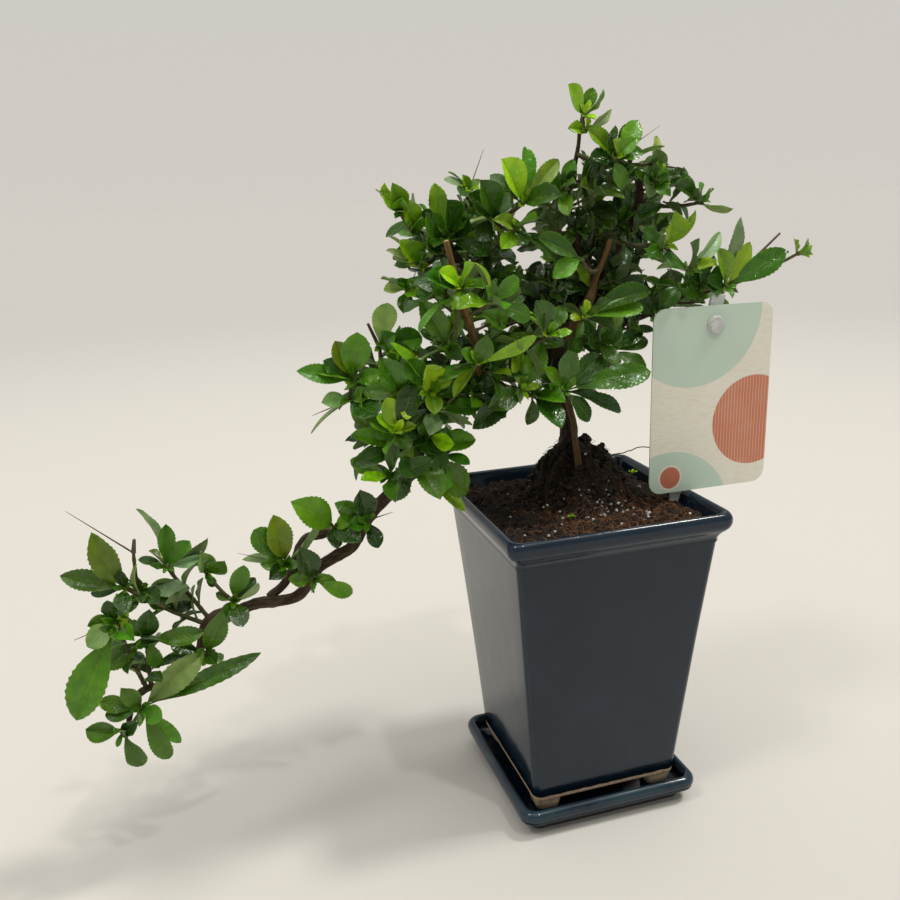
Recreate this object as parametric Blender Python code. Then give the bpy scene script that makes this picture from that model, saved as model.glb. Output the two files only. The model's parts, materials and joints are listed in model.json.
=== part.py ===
"""Cascade bonsai in a square glazed pot, standing on its saucer.

Metres, +Z up. The origin is the middle of the saucer's flat underside. The pot's sides run along X and Y,
its front faces -Y and the long branch hangs to -X. The tables of stems and rosettes are in millimetres.
"""

import math

import bmesh
import bpy
from mathutils import Vector
from mathutils.bvhtree import BVHTree

MM = 0.001

# ---- driving dimensions, millimetres ----
RIM_HALF = 62.5             # half the pot's width over its rim
POT_TOP = 177.0
POT_FLOOR = 28.0            # inside floor of the pot
CREASE_HALF = 56.4          # half width in the groove under the rim
CREASE_Z = 161.0
FOOT_HALF = 43.2            # half width at the bottom edge of the walls
BODY_BOTTOM = 18.5
WALL = 5.5
SAUCER_HALF = 53.2
SAUCER_TOP = 16.0
SAUCER_FLOOR = 7.6
SOIL_LEVEL = 171.0
MOUND_HEIGHT = 28.0
MOUND_X, MOUND_Y = 4.0, 13.0
MOUND_RADIUS = 27.0
DRAIN_RADIUS = 7.0
GAP = 0.35                  # clearance kept between pieces that touch

CARD_LEFT, CARD_RIGHT = 33.2, 105.4
CARD_BOTTOM, CARD_TOP = 178.0, 279.0
CARD_Y = -22.0
CARD_CORNER = 7.0
CARD_THICK = 0.8
STAKE_FOOT = Vector((44.5, -19.0, 142.0))
STAKE_TOP = Vector((73.0, -19.0, 284.5))
STAKE_WIDTH = 8.0
STAKE_THICK = 1.6
STUD_CENTRE = Vector((70.2, -22.0, 268.6))
STUD_RADIUS = 5.5
STUD_SHANK = 2.6


ROOT_THREAD = [(23, 2, 196, 0.4), (30, 0, 197, 0.4), (39, -3, 200, 0.4), (47, -6, 197, 0.4),
               (51, -7, 186, 0.4), (50, -6, 175, 0.4)]

# ---- stems: (x, y, z, radius) along each one, millimetres ----
STEMS = {
    "trunk": [
        (5, 15, 179, 6.4), (2, 15, 198, 5.0), (1, 14, 212, 4.4), (-5, 11, 231, 4.4),
        (-9, 8, 246, 4.6), (-7, 5, 260, 4.6), (1, 2, 272, 4.2), (7, 0, 284, 3.6),
        (10, -1, 295, 3.0), (14, -2, 304, 2.4), (18, -2, 314, 2.0),
    ],
    "second_stem": [
        (5, 2, 181, 2.2), (2, 3, 193, 2.0), (1, 5, 205, 1.9), (-3, 5, 219, 1.9), (-6, 6, 229, 1.8),
        (-8, 9, 238, 1.7),
    ],
    "cascade_stem": [
        (-11, 6, 243, 4.0), (-29, 2, 249, 3.6), (-44, 0, 248, 3.4), (-58, -2, 247, 3.3),
        (-70, -3, 241, 3.3), (-81, -4, 232, 3.2), (-88, -5, 220, 3.3), (-92, -5, 209, 3.2),
        (-97, -5, 200, 3.2), (-109, -4, 190, 3.3), (-118, -3, 181, 3.2), (-124, -2, 171, 3.0),
        (-129, -2, 164, 3.0), (-138, -2, 160, 3.0), (-147, -3, 156, 2.9), (-151, -3, 149, 2.8),
        (-159, -3, 142, 2.8), (-169, -3, 141, 2.9), (-179, -2, 141, 2.9), (-188, -2, 139, 2.8),
        (-198, -2, 138, 3.0), (-205, -2, 134, 2.9), (-208, -3, 126, 2.4), (-211, -3, 118, 2.2),
        (-216, -4, 110, 2.0), (-226, -6, 107, 1.8), (-237, -8, 107, 1.8), (-243, -9, 103, 1.6),
        (-247, -11, 94, 1.2), (-250, -12, 82, 0.6),
    ],
    "cascade_loop": [
        (-123, -1, 174, 2.4), (-133, 4, 173, 2.4), (-143, 5, 171, 2.4), (-151, 5, 170, 2.3),
        (-156, 4, 163, 2.3), (-160, 3, 154, 2.2), (-165, 2, 147, 2.2), (-173, -1, 143, 2.0),
    ],
    "left_limb": [
        (-9, 8, 248, 3.4), (-19, 12, 265, 3.2), (-33, 12, 281, 2.8), (-48, 8, 295, 2.4),
        (-59, 6, 303, 2.1), (-67, 4, 314, 1.7), (-70, 3, 323, 1.3),
    ],
    "lower_left_limb": [
        (-82, -4, 232, 2.4), (-93, -3, 242, 2.1), (-102, -3, 249, 1.9), (-109, -4, 254, 1.5),
    ],
    "right_limb": [
        (5, 2, 279, 3.2), (19, 10, 294, 3.0), (32, 14, 313, 2.8), (39, 13, 325, 2.5),
        (40, 8, 337, 2.0), (33, 0, 347, 1.4),
    ],
    "low_right_limb": [
        (1, 3, 270, 3.0), (16, 8, 264, 2.8), (32, 12, 267, 2.5), (47, 10, 272, 2.3),
        (59, 6, 277, 2.1), (67, 2, 283, 1.9), (75, -4, 284, 1.5), (83, -10, 288, 1.3),
        (95, -12, 294, 1.1), (107, -14, 300, 1.0), (118, -15, 304, 0.8),
    ],
    "top_limb": [
        (9, 1, 291, 2.6), (8, 8, 305, 2.4), (2, 10, 319, 2.0), (-2, 6, 334, 1.4),
        (-1, 3, 348, 1.1), (1, 1, 362, 1.0), (1, 0, 371, 0.8),
    ],
    "front_limb": [
        (-57, -3, 246, 2.0), (-62, -18, 259, 1.8), (-67, -29, 273, 1.6), (-72, -34, 286, 1.4),
        (-76, -36, 295, 1.2),
    ],
    "back_limb": [
        (-5, 6, 260, 3.0), (9, 26, 275, 2.6), (29, 44, 292, 2.2), (45, 54, 309, 1.6),
    ],
    "back_left_limb": [
        (-19, 12, 265, 2.4), (-23, 32, 279, 2.0), (-32, 48, 291, 1.5),
    ],
}

# ---- leafy sprays: each a list of rosettes along one twig ----
# A rosette is (its centre), (the way its leaves' upper faces look), [leaves], [bare spikes and stubs].
# A leaf is (bearing clockwise from up, lean towards the facing, length, width, roll about its own midrib).
# A spike is (bearing, lean, length, diameter). Angles are in degrees, lengths in millimetres.
SPRAYS = {
    "far_left": [
        ((-241, -5, 161), (-0.2, -0.9, 0.4), [
            (-25, 35, 33, 14), (-70, 20, 30, 11), (-100, 0, 17, 5), (175, 45, 16, 9), (5, 50, 13, 7),
        ], []),
        ((-235, 4, 155), (0, -0.7, 0.7), [
            (100, 10, 25, 10), (110, -10, 27, 13), (135, 0, 17, 9), (-145, -10, 13, 7),
            (150, 45, 21, 12),
        ], []),
        ((-235, -4, 178), (0, -0.9, 0.4), [
        ], [(10, 25, 7, 2.4), (-50, 25, 38, 0.9)]),
    ],
    "upper_fan": [
        ((-221, 2, 166), (0.1, -0.8, 0.5), [
            (-15, 30, 34, 8, 60), (5, 40, 25, 9), (75, 35, 26, 8, 55), (50, 40, 18, 10),
            (-35, 0, 12, 6, 50), (-65, 15, 14, 6, 30), (90, 35, 23, 6, 20),
        ], []),
    ],
    "elbow_up": [
        ((-191, -4, 145), (0.1, -0.9, 0.4), [
            (15, 35, 22, 10), (70, 40, 18, 7, 60), (55, 5, 16, 8), (-55, -15, 10, 5),
            (170, 50, 18, 10), (-145, 45, 16, 9),
        ], []),
        ((-203, 2, 161), (0.3, -0.9, 0.2), [
            (45, 65, 19, 11), (-20, 45, 18, 10), (160, -15, 11, 5),
        ], []),
    ],
    "under_left": [
        ((-234, -8, 134), (0, -0.9, 0.3), [
            (95, 10, 28, 10), (-45, 20, 21, 7), (15, 45, 19, 11), (165, -10, 17, 8),
            (-115, -10, 25, 11), (-35, -10, 13, 7),
        ], []),
    ],
    "left_tuft": [
        ((-246, -14, 148), (-0.2, -0.9, 0.3), [
            (-90, 35, 14, 8, 30), (-125, 55, 19, 11), (-5, 40, 14, 8),
        ], [(-110, 5, 21, 1.0)]),
        ((-246, -18, 147), (-0.3, -0.9, 0.2), [
            (-155, 5, 48, 19),
        ], []),
    ],
    "tail_fan": [
        ((-240, -10, 99), (0, -0.9, 0.3), [
            (50, 20, 40, 14), (70, 10, 62, 10), (140, -10, 27, 7), (165, -10, 31, 10),
            (160, -25, 30, 6), (-30, 30, 16, 9), (-70, -5, 21, 9), (-95, -10, 18, 8),
            (120, 50, 17, 10),
        ], []),
        ((-250, -12, 89), (-0.1, -0.9, 0.3), [
            (-65, 35, 19, 11), (160, -10, 21, 10), (60, 40, 14, 8),
        ], []),
    ],
    "elbow": [
        ((-209, -4, 120), (0.2, -0.9, 0.3), [
            (30, 35, 28, 12), (120, -10, 11, 5), (155, 65, 14, 8), (-60, -15, 17, 8),
        ], []),
    ],
    "mid_big": [
        ((-163, -6, 162), (0, -0.9, 0.4), [
            (-15, 30, 27, 14), (-40, 20, 26, 13), (40, 15, 27, 7, 55), (-75, -5, 22, 7, 40),
            (-85, 20, 14, 8), (-125, 40, 16, 9), (105, 50, 9, 5),
        ], [(-70, 5, 25, 0.8)]),
    ],
    "mid_dark": [
        ((-151, -12, 154), (0.1, -0.9, 0.3), [
            (-15, 35, 23, 13), (-80, 15, 14, 8), (100, 5, 12, 6), (125, 5, 22, 9),
        ], [(-175, -5, 7, 1.4)]),
    ],
    "loop_leaf": [
        ((-137, -2, 176), (-0.1, -0.8, 0.6), [
            (-60, 50, 30, 17), (85, 50, 14, 8), (-75, -5, 9, 5, 50), (140, 45, 21, 12),
            (180, 35, 16, 9),
        ], []),
    ],
    "gate": [
        ((-121, -6, 179), (0, -0.9, 0.4), [
            (-50, 10, 19, 9), (-70, 20, 18, 9), (-10, 45, 23, 13), (165, 20, 16, 9), (-20, 25, 14, 8),
            (-100, 25, 14, 8),
        ], [(80, 15, 14, 1.0)]),
    ],
    "pot_corner": [
        ((-95, -14, 211), (0.1, -0.9, 0.3), [
            (125, 10, 32, 17), (170, 40, 26, 15), (-140, -10, 24, 12), (-115, 45, 21, 12),
            (145, -10, 38, 7),
        ], []),
        ((-95, -12, 217), (0, -0.8, 0.6), [
            (95, 5, 32, 12), (-80, 15, 33, 10), (-95, 0, 33, 10), (105, -25, 20, 9),
        ], []),
    ],
    "knot": [
        ((-107, -24, 229), (0, -0.8, 0.6), [
            (-55, 35, 15, 7), (80, 20, 11, 5), (35, 40, 25, 12), (-70, 20, 17, 8), (170, 35, 16, 9),
            (-20, 45, 19, 11),
        ], []),
        ((-101, -20, 246), (-0.3, -0.7, 0.6), [
            (-35, 60, 24, 14), (-90, 15, 20, 11), (-120, 20, 14, 8),
        ], []),
    ],
    "lime_front": [
        ((-90, -28, 249), (0, -0.9, 0.4), [
            (-30, 65, 24, 14), (-45, 20, 31, 8, 35), (-175, 30, 16, 9), (65, 0, 13, 6),
            (-40, 30, 21, 12), (35, 75, 14, 8),
        ], []),
    ],
    "centre_star": [
        ((-68, -34, 261), (0.1, -0.8, 0.5), [
            (25, 60, 17, 10), (75, 25, 32, 8, 45), (-95, 0, 22, 8, 20), (-135, -20, 19, 7, 40),
            (-60, 35, 14, 8), (65, 5, 18, 9),
        ], []),
        ((-85, -20, 237), (0.1, -0.7, 0.7), [
            (105, 15, 22, 11), (-145, 10, 18, 10), (105, -20, 20, 10),
        ], []),
    ],
    "low_pair": [
        ((-42, -26, 244), (0, -0.9, 0.4), [
            (-110, 15, 21, 12), (-115, -15, 31, 12), (-10, 30, 26, 7, 40), (30, 30, 26, 12),
            (-10, 30, 22, 10), (75, 20, 10, 4),
        ], []),
        ((-33, -18, 239), (0.2, -0.8, 0.5), [
            (175, 35, 25, 14), (-175, -40, 16, 9), (145, 55, 21, 12),
        ], []),
    ],
    "left_fan": [
        ((-123, -6, 253), (-0.1, -0.9, 0.4), [
            (-20, 25, 22, 11), (-60, 25, 19, 10), (-75, 25, 20, 8, 30), (-80, 15, 29, 10),
            (5, 50, 26, 15), (-10, 10, 18, 7, 60), (95, 40, 16, 9),
        ], []),
        ((-125, -4, 243), (-0.1, -0.8, 0.5), [
            (-100, 30, 16, 9), (-125, -15, 25, 7, 65), (150, 35, 26, 15), (150, -20, 17, 7, 50),
            (100, 50, 16, 9),
        ], [(-105, -15, 20, 1.0)]),
    ],
    "pale_back": [
        ((-106, 6, 266), (-0.2, -0.9, 0.3), [
            (10, 15, 23, 13), (65, 60, 19, 11), (50, -10, 16, 5, 60), (75, -5, 23, 13),
            (105, 0, 19, 9),
        ], [(-25, 35, 15, 2.2)]),
    ],
    "left_low": [
        ((-92, -2, 295), (-0.2, -0.8, 0.5), [
            (-70, 25, 15, 5, 65), (-60, 55, 9, 5), (-90, 5, 12, 6), (145, 40, 19, 11),
            (-170, 20, 14, 8),
        ], [(25, 0, 11, 1.0)]),
    ],
    "left_hand": [
        ((-85, 0, 306), (-0.2, -0.8, 0.5), [
            (-50, 40, 16, 9), (-20, 75, 18, 10), (-75, 25, 18, 8, 35), (-95, 25, 13, 6),
            (-45, 20, 21, 6, 65), (70, 80, 14, 8),
        ], []),
    ],
    "left_tip": [
        ((-94, -2, 332), (-0.2, -0.9, 0.4), [
            (-30, 70, 19, 11), (145, 75, 12, 7), (-50, 50, 14, 8), (-55, 25, 16, 5, 65),
            (15, 85, 16, 9),
        ], []),
        ((-88, 0, 323), (0.1, -0.9, 0.3), [
            (-25, 50, 19, 11), (-5, 75, 14, 8),
        ], []),
    ],
    "olive_tall": [
        ((-75, 2, 315), (0, -0.9, 0.3), [
            (0, 15, 29, 10), (-40, 50, 21, 12), (-30, 35, 23, 7, 60), (-120, 50, 19, 11),
        ], []),
        ((-70, 4, 318), (0.1, -0.9, 0.3), [
            (-35, 50, 24, 14), (20, 15, 18, 9), (40, 20, 26, 8, 45), (85, 65, 18, 10),
        ], []),
        ((-57, 4, 341), (-0.1, -0.8, 0.5), [
            (-45, 30, 14, 4, 60), (-75, 35, 15, 6, 20), (-25, 45, 9, 5), (75, 55, 9, 5),
            (-140, 45, 16, 9),
        ], [(25, 20, 22, 0.7)]),
    ],
    "front_left": [
        ((-76, -36, 295), (0, -0.8, 0.6), [
            (-75, 35, 17, 10), (105, 85, 18, 10), (-85, 20, 21, 12), (-160, 25, 14, 8),
            (140, 50, 14, 8),
        ], []),
        ((-80, -30, 268), (-0.2, -0.9, 0.3), [
            (-25, 20, 29, 12), (10, 25, 20, 9, 35),
        ], []),
    ],
    "round_dark": [
        ((-51, -14, 328), (-0.1, -0.9, 0.4), [
            (-40, 65, 25, 14), (-75, 50, 23, 13), (40, 60, 16, 9), (-115, 20, 15, 7, 55),
            (-145, 10, 17, 10),
        ], []),
        ((-44, -26, 322), (0.1, -0.8, 0.5), [
            (-75, 35, 16, 9), (-135, 15, 16, 9), (130, 0, 23, 9), (145, 75, 18, 10), (-170, 35, 14, 8),
        ], []),
    ],
    "top_mid": [
        ((-39, -22, 334), (0, -0.9, 0.4), [
            (-45, 40, 26, 15), (45, 15, 29, 9), (15, 10, 21, 8), (-15, 15, 22, 8), (5, 15, 27, 10, 25),
            (115, 60, 23, 13), (-40, -5, 21, 9),
        ], []),
    ],
    "top_tip": [
        ((1, 0, 373), (0, -0.9, 0.4), [
            (-55, 45, 25, 14), (20, 15, 18, 9), (50, 15, 21, 7, 65),
        ], []),
        ((1, 0, 366), (0.1, -0.9, 0.3), [
            (55, 15, 23, 7, 35), (-90, 25, 16, 9),
        ], []),
    ],
    "right_star": [
        ((14, -12, 354), (0, -0.9, 0.4), [
            (-50, 20, 21, 10), (-70, 65, 16, 9), (45, 10, 26, 11), (50, 30, 15, 8), (80, 15, 16, 9),
            (-100, 25, 16, 9), (-55, 50, 18, 10), (30, 0, 21, 7), (170, 0, 16, 9),
        ], [(60, 5, 32, 0.7)]),
        ((43, 4, 352), (0.3, -0.8, 0.4), [
            (30, 25, 15, 6), (-115, 65, 16, 9), (-155, 0, 21, 12), (-175, 20, 19, 11),
        ], [(105, 10, 22, 1.3)]),
    ],
    "big_dark": [
        ((11, 10, 331), (0.1, -0.9, 0.3), [
            (-30, 45, 32, 18), (-15, 30, 30, 9, 50), (35, 45, 17, 8, 40), (165, 30, 19, 9),
            (155, 50, 21, 12),
        ], []),
    ],
    "front_centre": [
        ((-16, -40, 308), (-0.1, -0.8, 0.5), [
            (-60, 55, 30, 17), (5, 20, 22, 10), (-75, 15, 25, 11), (50, 10, 20, 9), (-115, 5, 18, 10),
        ], []),
    ],
    "shoulder": [
        ((74, 6, 331), (0.2, -0.8, 0.4), [
            (-45, 50, 14, 8), (105, 10, 23, 5, 65), (-40, 5, 26, 13), (-70, 20, 21, 12),
            (-50, 75, 12, 7),
        ], [(60, 15, 13, 2.0)]),
    ],
    "right_lime": [
        ((40, -18, 311), (0, -0.9, 0.3), [
            (-15, 70, 26, 15), (55, 20, 24, 7, 30), (-60, 20, 16, 9), (-120, 20, 16, 9),
        ], []),
        ((52, -22, 298), (0.1, -0.8, 0.5), [
            (-65, 65, 26, 15), (55, 15, 32, 8, 20), (70, 10, 20, 10), (140, 65, 18, 10),
            (-70, 15, 17, 9), (-70, -10, 16, 7, 50),
        ], []),
    ],
    "far_right": [
        ((80, -14, 287), (0.1, -0.9, 0.3), [
            (-20, 25, 23, 12), (30, 25, 27, 10), (65, 20, 39, 14), (10, 15, 37, 9), (-70, 15, 14, 8),
        ], [(55, 10, 45, 1.8)]),
        ((121, -16, 302), (0.3, -0.8, 0.3), [
            (-30, 15, 9, 4), (50, 30, 9, 4, 45), (45, 85, 9, 5),
        ], []),
    ],
    "right_core": [
        ((69, 6, 284), (0.1, -0.9, 0.2), [
            (50, 65, 16, 9), (-170, 55, 16, 9), (-65, 25, 17, 10), (-100, 10, 16, 9),
            (-35, 45, 19, 11), (110, 0, 35, 7),
        ], []),
    ],
    "stub_collar": [
        ((1, -12, 297), (0, -0.8, 0.6), [
            (-90, 10, 25, 11), (-50, 35, 18, 9), (80, 20, 23, 10), (80, 5, 32, 7, 45),
            (-100, -15, 16, 9),
        ], []),
    ],
    "right_glossy": [
        ((-8, -26, 278), (0.1, -0.7, 0.7), [
            (100, 20, 31, 13), (80, 20, 38, 12), (-95, 5, 9, 5), (125, 70, 19, 11), (115, -5, 17, 9),
        ], []),
    ],
    "left_glossy": [
        ((-29, -30, 271), (-0.1, -0.8, 0.6), [
            (-35, 55, 23, 13), (-60, 35, 25, 8, 40), (90, 10, 12, 5), (35, 15, 17, 9),
            (-90, -5, 26, 9, 35),
        ], []),
    ],
    "bottom_star": [
        ((-19, -26, 242), (0.1, -0.8, 0.5), [
            (-5, 50, 23, 13), (90, 15, 46, 14), (110, -5, 35, 9), (-45, 30, 18, 8), (140, -10, 21, 11),
            (60, 15, 30, 13), (105, -10, 26, 8), (-65, 5, 18, 10),
        ], []),
    ],
    "right_hang": [
        ((18, -4, 256), (0.1, -0.8, 0.5), [
            (-80, 10, 21, 11), (-180, 30, 10, 6), (130, 5, 22, 10), (85, 10, 25, 9),
            (-135, 20, 21, 12), (65, 10, 22, 9),
        ], []),
    ],
}

LEAF_BOW = 0.07             # how far a midrib bows off its chord, as a share of the leaf's length
PETIOLE_HALF = 0.6
LEAF_STATIONS = ((0.14, 0.0), (0.62, 0.50))    # (share of length, half width as share of width)
LEAF_KEEL = 0.9
GOLDEN_ANGLE = 137.5
TWIG_RADIUS = 1.0
BUD_RADIUS = 1.8
SAMPLE_STEP = 1.0           # spacing of the points that stand for a twig when its room is tested
ROOT_SPACING = 5.0          # least distance between the places where two twigs leave the stems
# Turns (bearing, lean) tried in order until a leaf is clear of its neighbours.
LEAF_TURNS = [(0, 0)] + [(side * step, rise * step) for step in (6, 12, 18, 24, 32)
                         for side, rise in ((0, 1), (1, 0), (-1, 0), (0, -1), (1, 1), (-1, 1))]
# Bends (share of the twig's length, direction round it) tried in order until a twig is clear.
TWIG_BENDS = [(0.06, 0)] + [(size, turn) for size in (0.15, 0.3, 0.5) for turn in range(0, 360, 45)]


def ruled_leaves(count, length, width, start=0):
    """A full rosette: each leaf stands a golden angle on from the last and a little flatter."""
    leaves = []
    for k in range(count):
        share = k / (count - 1)
        leaves.append(((start + k * GOLDEN_ANGLE) % 360, 55 - 60 * share, length * (0.7 + 0.3 * share),
                       width * (0.75 + 0.25 * share)))
    return leaves


# The back of the crown: full rosettes by rule at the ends of the two back limbs.
BACK_SPRAYS = {
    "back_left": [((-39, 54, 295), (-0.3, 0.9, 0.3)), ((-29, 62, 310), (0.1, 0.8, 0.6)),
                  ((-55, 46, 312), (-0.7, 0.5, 0.5))],
    "back_top": [((7, 46, 310), (-0.2, 0.8, 0.6)), ((13, 42, 330), (0.0, 0.6, 0.8)),
                 ((-11, 40, 338), (-0.4, 0.5, 0.8))],
    "back_right": [((51, 58, 312), (0.3, 0.9, 0.3)), ((67, 50, 324), (0.6, 0.5, 0.6)),
                   ((47, 46, 336), (0.2, 0.5, 0.8))],
    "back_low": [((15, 42, 268), (0.1, 0.9, -0.1)), ((-3, 50, 256), (-0.3, 0.9, 0.2)),
                 ((35, 50, 272), (0.5, 0.8, 0.1))],
}


def clear_scene():
    for obj in list(bpy.data.objects):
        bpy.data.objects.remove(obj, do_unlink=True)


def new_collection(name):
    collection = bpy.data.collections.new(name)
    bpy.context.scene.collection.children.link(collection)
    return collection


def material(name, colour, roughness, metallic=0.0):
    made = bpy.data.materials.new(name)
    made.use_nodes = True
    shader = made.node_tree.nodes["Principled BSDF"]
    shader.inputs["Base Color"].default_value = (*colour, 1.0)
    shader.inputs["Roughness"].default_value = roughness
    shader.inputs["Metallic"].default_value = metallic
    return made


def mesh_object(name, mesh, collection, finish=None):
    obj = bpy.data.objects.new(name, mesh)
    collection.objects.link(obj)
    if finish:
        mesh.materials.append(finish)
    return obj


def make_cutter(obj):
    """Moves an object to the cutters: it shapes others and is never shown."""
    for collection in list(obj.users_collection):
        collection.objects.unlink(obj)
    cutters.objects.link(obj)
    obj.hide_render = True
    obj.display_type = "WIRE"
    return obj


def boolean(obj, other, operation, self_overlap=False):
    modifier = obj.modifiers.new(f"{operation.lower()} {other.name}", "BOOLEAN")
    modifier.operation = operation
    modifier.object = other
    modifier.use_self = self_overlap


def smooth_path(stations, step=9.0):
    """Points (x, y, z, radius) of a smooth curve through the stations, about one every step millimetres."""
    knots = [Vector(station) for station in stations]
    knots = [2 * knots[0] - knots[1]] + knots + [2 * knots[-1] - knots[-2]]
    path = []
    for i in range(1, len(knots) - 2):
        a, b, c, d = knots[i - 1:i + 3]
        count = max(1, round((c - b).length / step))
        for k in range(count):
            t = k / count
            path.append(0.5 * (2 * b + (c - a) * t + (2 * a - 5 * b + 4 * c - d) * t ** 2
                               + (3 * b - 3 * c + d - a) * t ** 3))
    path.append(knots[-2])
    return path


def lengthened(path, by=GAP):
    """The path reaching a little past both its ends."""
    first, last = path[0].copy(), path[-1].copy()
    first.xyz = first.xyz + (path[0].xyz - path[1].xyz).normalized() * by
    last.xyz = last.xyz + (path[-1].xyz - path[-2].xyz).normalized() * by
    return [first, *path[1:-1], last]


def tubes_mesh(name, paths, sides_resolution=1, grow=0.0):
    """One mesh of closed round tubes, one for each path of (x, y, z, radius); grow adds to every radius."""
    curve = bpy.data.curves.new(name, "CURVE")
    curve.dimensions = "3D"
    curve.bevel_depth = MM
    curve.bevel_resolution = sides_resolution
    curve.use_fill_caps = True
    for path in paths:
        spline = curve.splines.new("POLY")
        spline.points.add(len(path) - 1)
        for point, (x, y, z, radius) in zip(spline.points, path):
            point.co = (x * MM, y * MM, z * MM, 1.0)
            point.radius = radius + grow
    guide = bpy.data.objects.new(name, curve)
    bpy.context.scene.collection.objects.link(guide)
    graph = bpy.context.evaluated_depsgraph_get()
    mesh = bpy.data.meshes.new_from_object(guide.evaluated_get(graph))
    bpy.data.objects.remove(guide)
    bpy.data.curves.remove(curve)
    bm = bmesh.new()
    bm.from_mesh(mesh)
    bmesh.ops.remove_doubles(bm, verts=bm.verts, dist=1e-6)
    bmesh.ops.recalc_face_normals(bm, faces=bm.faces)
    bm.to_mesh(mesh)
    bm.free()
    return mesh


# ---- square rounded rings: pot, saucer and soil ----
def square_ring(half, corner, z, segments):
    """Points of a rounded square ring; z is a number or a function of x and y."""
    ring = []
    for quarter in range(4):
        turn = math.radians(90 * quarter)
        for k in range(segments + 1):
            angle = turn + math.radians(90 * k / segments)
            middle = half - corner
            corner_x = middle * (math.cos(turn) - math.sin(turn))
            corner_y = middle * (math.sin(turn) + math.cos(turn))
            x = corner_x + corner * math.cos(angle)
            y = corner_y + corner * math.sin(angle)
            ring.append((x, y, z(x, y) if callable(z) else z))
    return ring


def ring_loft(name, rings):
    """A closed body through rings of equal count, capped at the first ring and at the last."""
    bm = bmesh.new()
    rows = [[bm.verts.new(Vector(point) * MM) for point in ring] for ring in rings]
    for low, high in zip(rows, rows[1:]):
        for k in range(len(low)):
            j = (k + 1) % len(low)
            bm.faces.new((low[k], low[j], high[j], high[k]))
    for ends in (rows[0], rows[-1]):
        middle = bm.verts.new(sum((v.co for v in ends), Vector()) / len(ends))
        for k in range(len(ends)):
            bm.faces.new((ends[k], ends[(k + 1) % len(ends)], middle))
    bmesh.ops.recalc_face_normals(bm, faces=bm.faces)
    mesh = bpy.data.meshes.new(name)
    bm.to_mesh(mesh)
    bm.free()
    mesh.shade_smooth()
    mesh.set_sharp_from_angle(angle=math.radians(40))
    return mesh


def make_saucer():
    """A shallow square tray: out and up the underside, over the thick lip and down to the floor."""
    sections = [(44.5, 5, 0.0), (45.3, 5, 0.5), (46.8, 5.5, 3.2), (49.2, 6.5, 6.3), (52.3, 8, 8.8),
                (SAUCER_HALF, 8.5, 11.6), (52.9, 8.3, 13.8), (51.9, 7.8, 15.3), (50.4, 7, SAUCER_TOP),
                (48.8, 6, 15.2), (47.8, 5.5, 12.4), (47.2, 5, SAUCER_FLOOR)]
    rings = [square_ring(half, corner, z, 3) for half, corner, z in sections]
    return mesh_object("saucer", ring_loft("saucer", rings), pieces, glaze)


def wall_half(z):
    """Half width of the pot's tapered outer wall."""
    return FOOT_HALF + (CREASE_HALF - FOOT_HALF) * (z - BODY_BOTTOM) / (CREASE_Z - BODY_BOTTOM)


def make_pot():
    """The hollow body, its rim flaring over a cove, with four feet joined on and a drain hole cut."""
    rim = [(CREASE_HALF, CREASE_Z), (57.0, 163.2), (58.8, 165.8), (60.9, 167.8), (62.1, 169.8),
           (RIM_HALF, 172.6), (62.1, 175.0), (60.6, POT_TOP), (58.6, 176.4), (57.0, 174.2), (55.9, 170.0)]
    inner = [(52.3, 158.0), (wall_half(120) - WALL, 120.0), (wall_half(POT_FLOOR) - WALL, POT_FLOOR)]
    outer = [(FOOT_HALF - 0.8, BODY_BOTTOM), (FOOT_HALF, BODY_BOTTOM + 0.9), (wall_half(95), 95.0)]
    sections = [(half, 4.5, z) for half, z in outer + rim] + [(half, 3.0, z) for half, z in inner]
    rings = [square_ring(half, corner, z, 3) for half, corner, z in sections]
    pot = mesh_object("pot", ring_loft("pot", rings), pieces, glaze)
    for x in (-1, 1):
        for y in (-1, 1):
            foot = make_foot(x, y)
            boolean(pot, foot, "UNION")
    bm = bmesh.new()
    bmesh.ops.create_cone(bm, cap_ends=True, segments=16, radius1=DRAIN_RADIUS * MM,
                          radius2=DRAIN_RADIUS * MM, depth=30 * MM)
    drain = bpy.data.meshes.new("drain hole")
    bm.to_mesh(drain)
    bm.free()
    hole = make_cutter(mesh_object("drain hole", drain, cutters))
    hole.location = (0, 0, (BODY_BOTTOM + POT_FLOOR) / 2 * MM)
    boolean(pot, hole, "DIFFERENCE")
    return pot


def make_foot(x_side, y_side):
    """A clay foot under one corner, narrower at its sole."""
    half_top, half_sole = 8.0, 6.2
    centre = FOOT_HALF - 1.2 - half_top
    sections = [(half_sole, 2.5, SAUCER_FLOOR + GAP), (half_top, 3.0, BODY_BOTTOM - 2.5),
                (half_top, 3.0, BODY_BOTTOM + 3)]
    rings = []
    for half, corner, z in sections:
        rings.append([(x + x_side * centre, y + y_side * centre, height)
                      for x, y, height in square_ring(half, corner, z, 2)])
    return make_cutter(mesh_object(f"foot {x_side} {y_side}", ring_loft("foot", rings), cutters))


def soil_height(x, y):
    """The surface of the soil: nearly level, with the root ball standing up round the trunk."""
    away = math.hypot(x - MOUND_X, (y - MOUND_Y) * 0.85)
    mound = MOUND_HEIGHT * math.exp(-(away / MOUND_RADIUS) ** 3)
    lumps = 0.9 * math.sin(0.31 * x + 1.0) * math.cos(0.27 * y) + 0.6 * math.sin(0.7 * x - 0.5 * y)
    return SOIL_LEVEL + mound + lumps


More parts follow.
